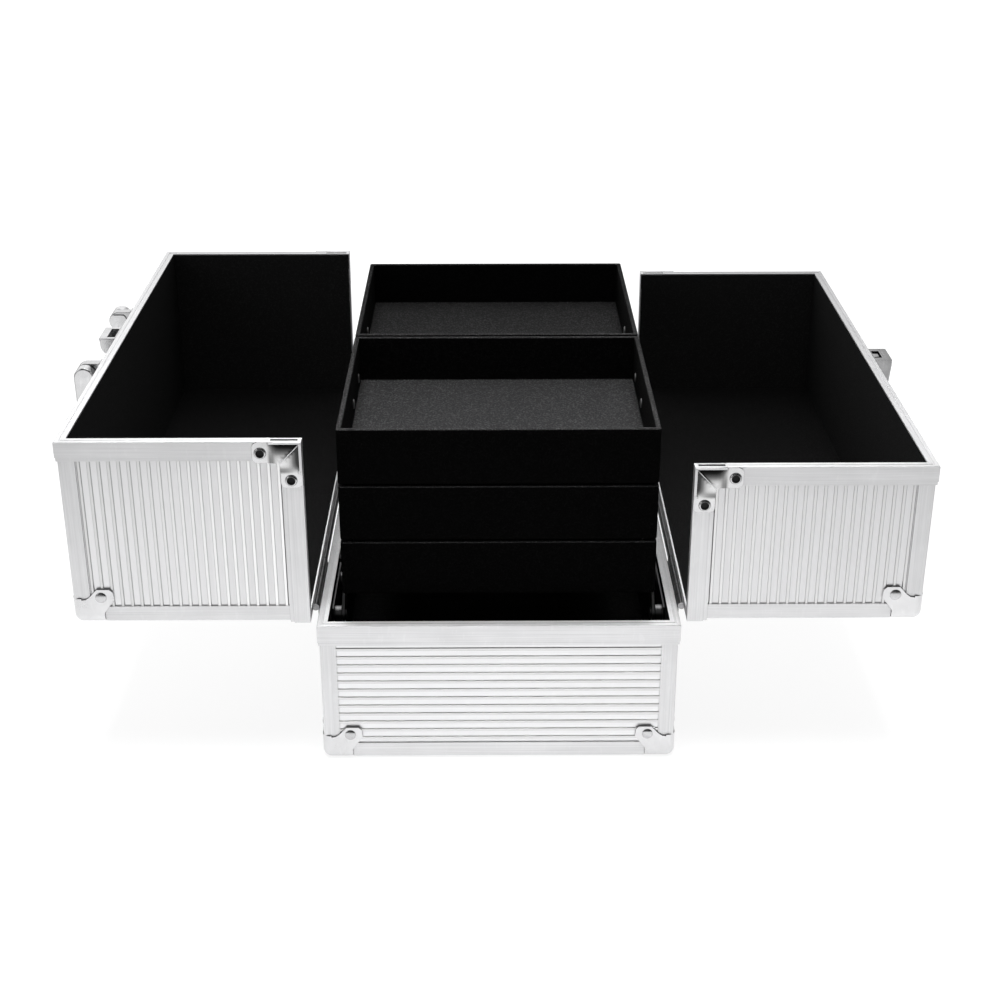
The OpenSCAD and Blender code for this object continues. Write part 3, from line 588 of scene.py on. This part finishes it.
def islands(piece):
    # the faces of each connected part of a mesh
    shape = bmesh.new()
    shape.from_mesh(piece.data)
    shape.faces.ensure_lookup_table()
    left = set(range(len(shape.faces)))
    while left:
        queue = [left.pop()]
        found = list(queue)
        while queue:
            for edge in shape.faces[queue.pop()].edges:
                for near in edge.link_faces:
                    if near.index in left:
                        left.remove(near.index)
                        queue.append(near.index)
                        found.append(near.index)
        yield found
    shape.free()


def lineUp(piece, name):
    # every bar takes the metal whose draw lines run along it
    piece.data.materials.clear()
    for axis in "XYZ":
        piece.data.materials.append(metals[name + axis])
    for found in list(islands(piece)):
        corners = [piece.data.vertices[index].co
                   for face in found for index in piece.data.polygons[face].vertices]
        spans = [max(c[axis] for c in corners) - min(c[axis] for c in corners) for axis in range(3)]
        for face in found:
            piece.data.polygons[face].material_index = spans.index(max(spans))
    return piece


# Profiles, panels, hinges, rails and arms: welded copies with broken edges
softenedValues = {
    # piece: (node, body, material, slot, width of the broken edge)
    "baseSidePanels": ("base_side_panels", "base", metals["baseSkinY"], "ribbed_panel", 0.14),
    "baseEndPanels": ("base_end_panels", "base", metals["baseSkinX"], "ribbed_panel", 0.14),
    "baseEdgeAngles": ("base_edge_angles", "base", None, "aluminium_profile", 0.15),
    "baseRimBars": ("base_rim", "base", None, "aluminium_profile", 0.15),
    "baseHingeLeaves": ("base_hinge_leaves", "base", metals["zincedSteel"], "steel", 0.15),
    "trayRails": ("tray_rails", "base", metals["zincedSteel"], "steel", 0.2),
    "handleBrackets": ("handle_brackets", "left_lid", metals["latchPlate"], "chrome", 0.7),
}
for side in ("left", "right"):
    lid = side + "_lid"
    for part, material, slotName, width in (
            ("floor_panel", metals["ribbedSkinY"], "ribbed_panel", 0.14),
            ("outer_panel", metals["ribbedSkinY"], "ribbed_panel", 0.14),
            ("end_panels", metals["ribbedSkinZ"], "ribbed_panel", 0.14),
            ("edge_angles", None, "aluminium_profile", 0.15),
            ("rims", None, "aluminium_profile", 0.15),
            ("hinge_leaves", metals["zincedSteel"], "steel", 0.15)):
        words = part.split("_")
        name = side + "".join(word.title() for word in words)
        softenedValues[name] = (side + "_" + part, lid, material, slotName, width)
for stack in ("front", "rear"):
    for arm in ("lower_arm_a", "lower_arm_b", "upper_arm_a", "upper_arm_b"):
        node = stack + "_" + arm
        name = stack + "".join(word.title() for word in arm.split("_"))
        softenedValues[name] = (node, node, metals["zincedSteel"], "tray_arm", 0.25)

for name, (node, body, material, slotName, width) in softenedValues.items():
    piece = softenedNode(name, node, body, material, slotName, width)
    if slotName == "aluminium_profile":
        lineUp(piece, "rimMetal" if node == "base_rim" else "profileMetal")
print("profiles, panels, hinges and arms softened")

# Sleeves between the two hinges of a side, which close the gap beside the base's rim
sleeveValues = {
    "at": (107.6, 90.5), "rings": ((1.2, -96.0), (1.9, -95.3), (1.9, 95.3), (1.2, 96.0)),
    "sides": 16}
sleeve = addTurned("sleeve", sleeveValues["rings"], sleeveValues["sides"])
x, z = sleeveValues["at"]
sleeves = [copyOf(sleeve, axesAt((side * x, 0, z), (1, 0, 0), (0, 0, -1), (0, 1, 0)))
           for side in (-1, 1)]
seat(gather("hingeSleeves", sleeves), "base", metals["zincedSteel"], "steel")
bpy.data.objects.remove(sleeve)
print("hinge sleeves made")

for node, material in (
        ("base_lining", liningFelt), ("left_lining", liningFelt), ("right_lining", liningFelt),
        ("base_floor_panel", blackBoard), ("hinge_pins", metals["zincedSteel"]),
        ("rail_pins", metals["zincedSteel"])):
    frame["nodes"][node].data.materials.clear()
    frame["nodes"][node].data.materials.append(material)

# Corner caps: a rounded shell cut to its outline, with a riveted tab on each wall
capValues = {
    "size": 30.0, "round": 5.0, "steps": 7, "wall": 1.0, "overlap": 0.5, "depth": 6.0,
    "outline": ((-1, -1), (17.9, -1), (17.9, 0.2), (18.8, 1.6), (17.6, 3.1), (18.0, 6.9),
                (20.7, 10.6), (24.2, 15.0), (23.6, 20.1), (21.7, 21.7), (14.6, 21.7),
                (10.0, 16.7), (7.9, 15.3), (3.4, 14.6), (0.9, 15.6), (-1, 16.2)),
    "foot": ((-1, -1), (18, -1), (18, 10), (10, 18), (-1, 18)), "edge": 0.2}


def makeCap():
    size = capValues["size"]
    piece = addBlock("cornerCap", (0, 0, 0), (size, size, size))
    openMesh(piece)
    # the three edges that meet in the outer corner
    mark(piece, "EDGE", lambda edge: sum(abs(c) < 0.01 for c in middle(edge)) == 2)
    bpy.ops.mesh.bevel(offset=capValues["round"], segments=capValues["steps"], affect="EDGES")
    mark(piece, "FACE", lambda face: max(middle(face)) > size - 0.01)
    bpy.ops.mesh.delete(type="FACE")
    closeMesh()
    modify(piece, "SOLIDIFY", thickness=capValues["wall"], offset=-1, use_even_offset=True)
    depth = capValues["depth"]
    low = -capValues["overlap"]
    keep = place(addPlate("keep", capValues["outline"], depth),
                 axesAt((0, low, 0), (1, 0, 0), (0, 0, 1), (0, 1, 0)))
    combine(keep, place(addPlate("side", capValues["outline"], depth),
                        axesAt((low, 0, 0), (0, 1, 0), (0, 0, 1), (1, 0, 0))), "UNION")
    combine(keep, place(addPlate("foot", capValues["foot"], depth),
                        Matrix.Translation((0, 0, low))), "UNION")
    combine(piece, keep, "INTERSECT")
    return soften(tidyFlats(piece), capValues["edge"])


cap = makeCap()
for name, corners, body, node in (
        ("baseCaps", baseCorners(), "base", "base_corner_caps"),
        ("leftCaps", lidCorners(-1), "left_lid", "left_corner_caps"),
        ("rightCaps", lidCorners(1), "right_lid", "right_corner_caps")):
    seat(gather(name, [copyOf(cap, corner) for corner in corners]), body, metals["pressedCap"],
         "corner_cap", [node])
bpy.data.objects.remove(cap)
print("corner caps made")

# Brackets on the free corners: a dished plate with a fold on its diagonal, under two lips
bracketValues = {
    "leg": 27.0, "width": 12.0, "endRadius": 3.0, "crest": 2.1, "edge": 0.25, "end": 1.1,
    "bend": 2.6, "rows": (0.9, 1.9, 3.0, 4.3, 5.8, 7.5, 9.5, 12.0, 13.8, 15.6, 17.4, 19.2),
    "fade": (13.0, 7.5), "fold": 0.12, "foldWide": 0.3, "foldFrom": 0.8, "creases": (-0.4, 0, 0.4),
    "plateEdge": 0.25, "flange": 18.0, "flangeThick": 0.5, "flangeEdge": 0.22, "overRim": 5.9,
    "lap": 0.1, "lip": 1.4, "topLip": 1.1, "sideLip": (1.5, 0.6), "bump": (2.1, 18.9, 17.2, 0.15),
    "slot": (2.2, 17.2, -4.4, -2.0), "slotDeep": 0.42, "shade": (0.1, 0.05, 0.16),
    "screwAt": 22.6, "screwAcross": 6.3, "screwBase": 0.8}


def bracketDepth(spot):
    # how far the plate lies below its crest: most along its outer edges, by the corner
    near, far = sorted((max(spot.x, 0), max(-spot.y, 0)))
    crest, edge, end = (bracketValues[key] for key in ("crest", "edge", "end"))
    across = max(0.0, 1 - near / bracketValues["width"]) ** bracketValues["bend"]
    start, length = bracketValues["fade"]
    share = min(max((far - start) / length, 0.0), 1.0)
    share = share * share * (3 - 2 * share)
    if abs(spot.x + spot.y) < 0.05 and 1 < spot.x < bracketValues["width"] - 0.3:
        across -= bracketValues["fold"]
    return round((crest - edge) * across * (1 - share) + (crest - end) * share, 2)


def makeBracket():
    leg, width, r = (bracketValues[key] for key in ("leg", "width", "endRadius"))
    front = bracketValues["crest"]
    outline = ([(0, 0)] + arc((leg - r, -r), r, 90, 0) + arc((leg - r, r - width), r, 0, -90)
               + [(width, -width)] + arc((width - r, r - leg), r, 0, -90)
               + arc((r, r - leg), r, -90, -180))
    plate = addPlate("bracket", outline, front)
    openMesh(plate)
    for row in bracketValues["rows"]:
        for normal in ((1, 0, 0), (0, 1, 0)):
            bpy.ops.mesh.select_all(action="SELECT")
            bpy.ops.mesh.bisect(plane_co=(row, -row, 0), plane_no=normal)
    for offset in bracketValues["creases"]:
        bpy.ops.mesh.select_all(action="SELECT")
        bpy.ops.mesh.bisect(plane_co=(offset, 0, 0), plane_no=(1, 1, 0))
    depths = {bracketDepth(vert.co) for vert in bmesh.from_edit_mesh(plate.data).verts}
    for depth in sorted(depths - {0.0}):
        mark(plate, "VERT",
             lambda vert: vert.co.z > front - 0.01 and bracketDepth(vert.co) == depth)
        bpy.ops.transform.translate(value=(0, 0, -depth))
    closeMesh()
    soften(plate, bracketValues["plateEdge"], 2, 50)
    flange, thick, lip, lap = (
        bracketValues[key] for key in ("flange", "flangeThick", "lip", "lap"))
    over = -bracketValues["overRim"]
    top = addBlock("top", (0, -thick, over), (flange, 0, lap))
    combine(top, addBlock("lip", (0, -bracketValues["topLip"], -lap), (flange, 0, lip)), "UNION")
    x0, x1, z0, z1 = bracketValues["slot"]
    deep = bracketValues["slotDeep"]
    combine(top, addBlock("slot", (x0, -deep, z0), (x1, 1, z1)), "DIFFERENCE")
    # painted shade: a dark sheet in the slot
    inset, sunk, face = bracketValues["shade"]
    shade = addBlock("shade", (x0 + inset, -deep - sunk, z0 + inset),
                     (x1 - inset, -face, z1 - inset))
    shade.data.materials.append(metals["slotShade"])
    side = addBlock("side", (0, -flange, over), (thick, -thick, lap))
    sideLip, start = bracketValues["sideLip"]
    combine(side, addBlock("lip", (0, -flange, -lap), (sideLip, -start, lip)), "UNION")
    wide, low, high, proud = bracketValues["bump"]
    combine(side, addBlock("bump", (0, -low, 0), (wide, -high, lip + proud)), "UNION")
    for flangePiece in (top, side):
        soften(tidyFlats(flangePiece), bracketValues["flangeEdge"])
        flangePiece.data.materials.append(metals["profileMetal"])
    plate.data.materials.append(metals["brightPlate"])
    plate.data.materials.append(metals["profileMetal"])
    # painted highlight: the fold's crest takes the paler second material
    for face in plate.data.polygons:
        spot = face.center
        onFold = abs(spot.x + spot.y) < bracketValues["foldWide"] and face.normal.z > 0.3
        face.material_index = int(onFold and bracketValues["foldFrom"] < spot.x < width)
    return gather("bracket", [plate, top, side, shade])


def bracketCorners(side):
    height = caseValues["leftHeight" if side < 0 else "rightHeight"]
    for end in (-1, 1):
        yield lidMatrix(side) @ axesAt(
            (0, end * halfLength, height), (1, 0, 0), (0, 0, 1), (0, end, 0))


bracket = makeBracket()
for name, side, body in (("leftBrackets", -1, "left_lid"), ("rightBrackets", 1, "right_lid")):
    copies = [copyOf(bracket, corner) for corner in bracketCorners(side)]
    seat(gather(name, copies), body, None, "chrome",
         [body.replace("_lid", "_corner_brackets")], 40)
bpy.data.objects.remove(bracket)
print("corner brackets made")

# Rivets with domed heads, and the brackets' screws whose recess is painted dark as shade
rivetValues = {
    "rings": ((1.3, -0.9), (1.3, 0.02), (3.2, 0.02), (3.2, 0.2), (3.05, 0.36), (2.6, 0.62),
              (2.0, 0.85), (1.3, 1.02), (0.6, 1.09)),
    "sides": 28, "capAt": 16.8, "leafHead": 2.2 / 3.2, "leafStep": 22.0, "leafAt": 7.0,
    "hinge": (107.6, 127.0, 90.5), "leafFace": 1.6}
screwValues = {
    "rings": ((1.3, -1.2), (1.3, 0.02), (3.4, 0.02), (3.4, 0.4), (3.25, 0.8), (2.95, 1.15),
              (2.75, 1.32), (2.55, 1.43), (2.4, 1.45), (2.3, 1.3), (2.1, 0.6), (0.9, 0.42)),
    "sides": 28, "recess": 2.31, "recessHeights": (0.1, 1.42)}


def capRivetSpots(corner):
    # a cap's two rivets, z out of the wall
    at = rivetValues["capAt"]
    yield corner @ axesAt((at, 0, at), (1, 0, 0), (0, 0, 1), (0, -1, 0))
    yield corner @ axesAt((0, at, at), (0, 1, 0), (0, 0, -1), (-1, 0, 0))


def leafRivetSpots(side, onLid):
    # on the base's wall or under the lid's floor, three to a hinge
    hingeX, hingeY, hingeZ = rivetValues["hinge"]
    face, at = rivetValues["leafFace"], rivetValues["leafAt"]
    small = Matrix.Scale(rivetValues["leafHead"], 4)
    for end in (-1, 1):
        for step in (-1, 0, 1):
            y = end * hingeY + step * rivetValues["leafStep"]
            if onLid:
                yield axesAt((side * (hingeX + at), y, hingeZ + face),
                             (1, 0, 0), (0, -1, 0), (0, 0, -1)) @ small
            else:
                yield axesAt((side * (hingeX - face), y, hingeZ - at),
                             (0, side, 0), (0, 0, 1), (side, 0, 0)) @ small


def screwSpots(side):
    at, across, base = (bracketValues[key] for key in ("screwAt", "screwAcross", "screwBase"))
    for corner in bracketCorners(side):
        yield corner @ Matrix.Translation((at, -across, base))
        yield corner @ Matrix.Translation((across, -at, base))


def makeScrew():
    piece = addTurned("screw", screwValues["rings"], screwValues["sides"])
    piece.data.materials.append(metals["rivetMetal"])
    piece.data.materials.append(metals["slotShade"])
    # painted shade: the faces in the recess take the dark slot metal
    low, high = screwValues["recessHeights"]
    for face in piece.data.polygons:
        inside = face.center.xy.length < screwValues["recess"]
        face.material_index = int(inside and low < face.center.z < high)
    return piece


rivet = addTurned("rivet", rivetValues["rings"], rivetValues["sides"])
rivet.data.materials.append(metals["rivetMetal"])
screw = makeScrew()
heads = [copyOf(rivet, spot) for corner in baseCorners() for spot in capRivetSpots(corner)]
for side in (-1, 1):
    heads += [copyOf(rivet, spot) for spot in leafRivetSpots(side, False)]
seat(gather("baseRivets", heads), "base", None, "steel", ["base_rivets"])
for name, side, body in (("leftFasteners", -1, "left_lid"), ("rightFasteners", 1, "right_lid")):
    heads = [copyOf(rivet, spot) for corner in lidCorners(side) for spot in capRivetSpots(corner)]
    heads += [copyOf(rivet, spot) for spot in leafRivetSpots(side, True)]
    heads += [copyOf(screw, spot) for spot in screwSpots(side)]
    seat(gather(name, heads), body, None, "steel", [body.replace("_lid", "_fasteners")])
bpy.data.objects.remove(rivet)
bpy.data.objects.remove(screw)
print("rivets and screws made")

# Trays: boxes of board covered in felt, with soft edges
trayValues = {
    "halfWidth": 91.35, "front": -157.3, "back": -1.5, "height": 33.6, "wall": 3.0, "floor": 4.5,
    "corner": 1.5, "edge": 1.1, "bottoms": {"low": 99.5, "middle": 134.7, "top": 169.9}}


def makeTray(name, bottom):
    width, height, wall = (trayValues[key] for key in ("halfWidth", "height", "wall"))
    piece = addBlock(name, (-width, trayValues["front"], bottom),
                     (width, trayValues["back"], bottom + height))
    openMesh(piece)
    mark(piece, "FACE", lambda face: face.normal.z > 0.9)
    bpy.ops.mesh.inset(thickness=wall, use_even_offset=True)
    bpy.ops.mesh.extrude_region_move(
        TRANSFORM_OT_translate={"value": (0, 0, trayValues["floor"] - height)})
    bpy.ops.mesh.inset(thickness=wall, use_even_offset=True)
    # round the outer corners
    mark(piece, "EDGE", lambda edge: along(edge, 2) and abs(middle(edge).x) > width - 0.01)
    bpy.ops.mesh.bevel(offset=trayValues["corner"], segments=3, affect="EDGES")
    closeMesh()
    return soften(piece, trayValues["edge"], 3, 40)


# Pins: turned in one piece, with a domed head inside the tray and one outside the arm
pinValues = {
    "rings": ((1.0, 87.5), (2.3, 87.58), (2.8, 87.8), (3.0, 88.1), (3.0, 88.35), (1.5, 88.36),
              (1.5, 91.34), (2.5, 91.35), (2.5, 91.65), (1.5, 91.66), (1.5, 93.34), (3.0, 93.35),
              (3.0, 93.7), (2.8, 93.95), (2.3, 94.1), (1.0, 94.15)),
    "rows": {"low": ((-131, -109, -87, -65), 112.5), "middle": ((-99, -77, -55, -33), 147.7),
             "top": ((-67, -23), 182.9)}}
pin = addTurned("pin", pinValues["rings"], 20)
flip = Matrix.Scale(-1, 4, (0, 1, 0))
for stack, turn in (("front", Matrix.Identity(4)), ("rear", flip)):
    for level, bottom in trayValues["bottoms"].items():
        body = stack + "_tray_" + level
        word = level.title()
        tray = place(makeTray(stack + "Tray" + word, bottom), turn)
        seat(tray, body, trayFelt, "tray_felt", [body])
        places, z = pinValues["rows"][level]
        pins = [copyOf(pin, turn @ axesAt((0, y, z), (0, side, 0), (0, 0, 1), (side, 0, 0)))
                for y in places for side in (-1, 1)]
        seat(gather(stack + "Pins" + word, pins), body, metals["zincedSteel"], "steel",
             [stack + "_pins_" + level])
bpy.data.objects.remove(pin)
print("trays and pins made")

# Handle: two arms with round heads and a moulded grip, x outwards and y up from the pivot
handleValues = {
    "out": 9.8, "down": 8.0, "head": 6.2, "headEnd": 253, "inner": 53.0, "outer": 61.0,
    "waist": ((-1.8, -22), (-4.4, -28.5), (-5.7, -35)), "drop": 42.3, "footRadius": 5.7,
    "edge": 1.7}
gripValues = {
    "section": (5.5, 7.8, 4.0), "drop": 40.0, "stations": ((20, 1.0), (40, 0.975), (52.9, 0.93)),
    "edge": 1.0}
handlePinValues = {
    "disc": (6.0, 44.75, 45.75), "flat": (130, 410), "edge": 0.3, "pin": ((2.0, 45.0), (2.0, 60.2)),
    "sides": 28}
handleMatrix = lidMatrix(-1) @ axesAt(
    (caseValues["rise"] + handleValues["out"], 0, caseValues["leftHeight"] - handleValues["down"]),
    (1, 0, 0), (0, 0, 1), (0, -1, 0))


def makeHandleArm():
    outline = (arc((0, 0), handleValues["head"], 0, handleValues["headEnd"], 26)
               + list(handleValues["waist"])
               + arc((0, -handleValues["drop"]), handleValues["footRadius"], 180, 360, 14))
    piece = addPlate("arm", outline, handleValues["outer"] - handleValues["inner"])
    place(piece, Matrix.Translation((0, 0, handleValues["inner"])))
    return soften(piece, handleValues["edge"], 4, 50)


def makeGripPiece():
    halfDeep, halfHigh, r = gripValues["section"]
    inner = handleValues["inner"]
    section = roundedBox(-halfDeep, -halfHigh, halfDeep, halfHigh, r)
    piece = place(addPlate("handleGrip", section, 2 * inner), Matrix.Translation((0, 0, -inner)))
    openMesh(piece)
    for z, grow in gripValues["stations"]:
        for end in (-1, 1):
            if z < inner - 1:
                bpy.ops.mesh.select_all(action="SELECT")
                bpy.ops.mesh.bisect(plane_co=(0, 0, end * z), plane_no=(0, 0, 1))
            mark(piece, "VERT", lambda vert: abs(vert.co.z - end * z) < 0.2)
            bpy.ops.transform.resize(value=(grow, grow, 1), center_override=(0, 0, end * z))
    closeMesh()
    soften(piece, gripValues["edge"], 3, 60)
    return place(piece, Matrix.Translation((0, -gripValues["drop"], 0)))


def makeHandlePin():
    # a pin with a round disc that has one flat side
    radius, start, stop = handlePinValues["disc"]
    disc = addPlate("disc", arc((0, 0), radius, *handlePinValues["flat"], 30), stop - start)
    place(disc, Matrix.Translation((0, 0, start)))
    soften(disc, handlePinValues["edge"], 2, 50)
    pin = addTurned("pin", handlePinValues["pin"], handlePinValues["sides"])
    return gather("handlePin", [disc, pin])


mirror = Matrix.Scale(-1, 4, (0, 0, 1))
for name, piece, body, slotName, node in (
        ("handlePins", makeHandlePin(), "left_lid", "steel", "handle_pins"),
        ("handleArms", makeHandleArm(), "handle", "chrome", "handle_arms")):
    ends = [copyOf(piece, handleMatrix), copyOf(piece, handleMatrix @ mirror)]
    seat(gather(name, ends), body, metals["handlePlate"], slotName, [node])
    bpy.data.objects.remove(piece)
seat(place(makeGripPiece(), handleMatrix), "handle", gripPlastic, "handle_grip", ["handle_grip"])
print("handle made")

# Latch: the keeper on the left lid and the tapered body on the right one, x outwards, y up
keeperValues = {
    "half": 11.0, "deep": 10.4, "high": 11.8, "top": -0.1, "plate": 1.5, "chamfer": (0.3, 0.4),
    "neck": 1.2, "lap": 0.3, "seam": 0.35, "bend": 0.7, "slot": (0.6, 5.6, 8.0, 12.0),
    "edge": 0.24, "block": ((1.2, -11.0, -6.6), (4.9, -5.6, 6.6)), "blockEdge": 0.4}
latchValues = {
    "half": 10.5, "high": 34.0, "top": -0.1, "front": ((11.0, -0.1), (11.0, -4), (9.4, -22)),
    "foot": 3.0, "slot": (0.6, 5.6, 6.2, 30.0), "window": ((0.6, -27.0, -4.0), (12.0, -14.0, 4.0)),
    "groove": (6.6, 7.2, 0.35, 1.4), "edge": 0.4}
sliderValues = {
    "blade": ((0.75, -26.6, -6.0), (2.0, -4.0, 6.0)), "hook": ((0.75, -4.4, -2.6), (4.4, -0.7, 2.6)),
    "tab": ((0.75, -26.6, -3.8), (9.0, -21.6, 3.8))}
sliderEdge = 0.25
keeperMatrix, latchMatrix = (
    lidMatrix(side) @ axesAt((caseValues["rise"], 0, caseValues[height]),
                             (1, 0, 0), (0, 0, 1), (0, -1, 0))
    for side, height in ((-1, "leftHeight"), (1, "rightHeight")))


def slotBlock(low, high, half, deep):
    return addBlock("slot", (low, -deep, -half), (high, 1, half))


def makeKeeper():
    # a flat slab over a rounded body, both cut by the slot, with a block at the slot's foot
    half, deep, high, top, plate = (
        keeperValues[key] for key in ("half", "deep", "high", "top", "plate"))
    inset, down = keeperValues["chamfer"]
    neck, lap, seam, bend = (keeperValues[key] for key in ("neck", "lap", "seam", "bend"))
    slab = addPlate("slab", [(0, -plate), (deep - inset, -plate), (deep, down - plate), (deep, top),
                             (0, top)], 2 * half)
    place(slab, Matrix.Translation((0, 0, -half)))
    turns = [radians(step) for step in range(0, 91, 5)]
    rounded = [((deep - seam) * cos(t) ** bend, -plate - (high - plate) * sin(t) ** bend)
               for t in turns]
    body = addPlate("body", [(0, lap - plate), (deep - neck, lap - plate),
                             (deep - neck, -plate - lap)] + rounded + [(0, -high)],
                    2 * (half - seam))
    place(body, Matrix.Translation((0, 0, seam - half)))
    for part in (slab, body):
        combine(part, slotBlock(*keeperValues["slot"]), "DIFFERENCE")
        soften(tidyFlats(part), keeperValues["edge"])
    block = soften(addBlock("block", *keeperValues["block"]), keeperValues["blockEdge"])
    return gather("latchKeeper", [slab, body, block])


def makeLatchBody():
    half, high, top = (latchValues[key] for key in ("half", "high", "top"))
    outline = [(0, top), *latchValues["front"], (latchValues["foot"], -high), (0, -high)]
    body = place(addPlate("latchBody", outline, 2 * half), Matrix.Translation((0, 0, -half)))
    combine(body, slotBlock(*latchValues["slot"]), "DIFFERENCE")
    combine(body, addBlock("window", *latchValues["window"]), "DIFFERENCE")
    # a shallow groove across the top face
    start, stop, deep, margin = latchValues["groove"]
    groove = addBlock("groove", (start, top - deep, margin - half), (stop, 1, half - margin))
    combine(body, groove, "DIFFERENCE")
    soften(tidyFlats(body), latchValues["edge"])
    for name in ("latchSideShade", "latchPlate", "slotShade"):
        body.data.materials.append(metals[name])
    # painted shade: dark in the slot, and the sides painted darker than the paler top
    start, stop, wide = latchValues["slot"][:3]
    for face in body.data.polygons:
        spot = face.center
        inside = (start - 0.1 < spot.x < stop + 0.1 and abs(spot.z) < wide + 0.1
                  and spot.y < top - 0.5)
        face.material_index = 2 if inside else int(face.normal.y > 0.5)
    return body


def makeSlider():
    # a blade with a hook on top and a thumb tab below
    pieces = [addBlock(name, *ends) for name, ends in sliderValues.items()]
    for piece in pieces:
        soften(piece, sliderEdge)
        piece.data.materials.append(metals["handlePlate"])
    return gather("latchSlider", pieces)


keeper = place(makeKeeper(), keeperMatrix)
seat(keeper, "left_lid", metals["handlePlate"], "chrome", ["latch_keeper"])
seat(place(makeLatchBody(), latchMatrix), "right_lid", None, "chrome", ["latch_body"])
seat(place(makeSlider(), latchMatrix), "latch_slide", None, "steel", ["latch_slider"])
print("latch made")


# Floor, lamps, world and camera
studioValues = {
    "lens": 59.75, "place": (-0.0061, -1.014, 0.561), "pitch": 25.09, "yaw": 0.46,
    "floorColour": 0.10, "floorGlow": ((0.0, 0.78), (0.40, 0.88), (0.80, 1.0)), "floorGain": 1.08,
    "fill": 0.34, "pool": (-0.02, -0.28, 0),
    "poolFade": ((0.0, 0.78), (0.16, 0.78), (0.25, 0.84), (0.42, 0.88), (0.70, 0.64), (1.0, 0.36)),
    "poolGlow": 1.3,
    "frontSky": ((0.0, 0.50), (0.06, 0.40), (0.18, 0.12), (0.9, 0.10)),
    "backSky": ((0.0, 0.92), (0.60, 0.96), (0.85, 0.20), (0.95, 0.12)), "skyGlow": 1.25,
    "rightSky": ((0.53, 1.0), (0.62, 0.40)),
    "lamps": (
        # name, place, target, size, watts, spread in degrees
        ("topLamp", (0.0, -0.31, 1.0), (0.0, -0.29, 0.0), 0.6, 3.6, 42),
        ("backLamp", (0.05, 0.45, 1.5), (0, 0, 0.1), 1.2, 8.0, 180),
        ("leftLamp", (-1.5, -0.7, 1.0), (0, 0, 0.1), 0.9, 3.0, 180)),
}


def makeFloor():
    recipe = Recipe("paleFloor", Roughness=0.6, Specular_IOR_Level=0.1, Emission_Strength=1.0)
    fleck = recipe.noise(90.0, 3.0, 0.6)
    level = studioValues["floorColour"]
    # the floor glows: white to the camera, with painted shadow where it is darker close to the case;
    # to metal, a glowing pool of painted light in front of the case that fades with distance
    away = recipe.node("ShaderNodeVectorMath", {"operation": "DISTANCE"},
                       {0: recipe.place(), 1: studioValues["pool"]}, output="Value")
    camera, glossy = (recipe.node("ShaderNodeLightPath", output=name)
                      for name in ("Is Camera Ray", "Is Glossy Ray"))
    floorGlow, poolGlow = (recipe.ramp(away, *studioValues[key]) * studioValues[gain]
                           for key, gain in (("floorGlow", "floorGain"), ("poolFade", "poolGlow")))
    seen = camera * floorGlow + glossy * poolGlow
    return recipe.paint(Emission_Color=seen,
                        Base_Color=recipe.blend(fleck, grey(level), grey(level + 0.01)))


bpy.ops.mesh.primitive_plane_add(size=30, location=(0, 0, -0.0002))
floor = bpy.context.object
floor.name = "studioFloor"
floor.data.materials.append(makeFloor())


def makeWorld():
    # a plain room: white behind, darker overhead and high up in front; the camera sees white
    world = bpy.data.worlds.new("studio")
    bpy.context.scene.world = world
    world.use_nodes = True
    recipe = Recipe("studio", world.node_tree)
    recipe.tree.nodes.clear()
    where = recipe.node("ShaderNodeTexCoord", output="Generated")
    across, depth, height = recipe.split(where)
    behind = recipe.ramp(depth * 0.5 + 0.5, (0.48, 0), (0.60, 1))
    back = recipe.ramp(height, *studioValues["backSky"]) * studioValues["skyGlow"]
    room = recipe.blend(behind, recipe.ramp(height, *studioValues["frontSky"]), back)
    fill = studioValues["fill"]
    lit = recipe.blend(recipe.node("ShaderNodeLightPath", output="Is Diffuse Ray"), room,
                       (fill, fill, fill))
    right = recipe.ramp(across * 0.5 + 0.5, *studioValues["rightSky"])
    lit = recipe.node("ShaderNodeVectorMath", {"operation": "SCALE"}, {0: lit, "Scale": right})
    seen = recipe.blend(recipe.node("ShaderNodeLightPath", output="Is Camera Ray"), lit, (1, 1, 1))
    light = recipe.node("ShaderNodeBackground", None, {"Color": seen})
    recipe.node("ShaderNodeOutputWorld", None, {"Surface": light})


makeWorld()
for name, spot, target, size, watts, spread in studioValues["lamps"]:
    data = bpy.data.lights.new(name, "AREA")
    data.size = size
    data.energy = watts
    data.spread = radians(spread)
    lamp = bpy.data.objects.new(name, data)
    bpy.context.collection.objects.link(lamp)
    lamp.location = spot
    aim = Vector(target) - Vector(spot)
    lamp.rotation_euler = aim.to_track_quat("-Z", "Y").to_euler()
    # the lamp overhead lights the trays, but isn't mirrored in the metal
    lamp.visible_glossy = name != "topLamp"

cameraData = bpy.data.cameras.new("camera")
cameraData.lens = studioValues["lens"]
cameraData.sensor_width = 36.0
camera = bpy.data.objects.new("camera", cameraData)
bpy.context.collection.objects.link(camera)
camera.location = studioValues["place"]
camera.rotation_euler = (radians(90 - studioValues["pitch"]), 0, radians(-studioValues["yaw"]))
bpy.context.scene.camera = camera
bpy.context.scene.view_settings.view_transform = "Standard"
print("studio and camera made")
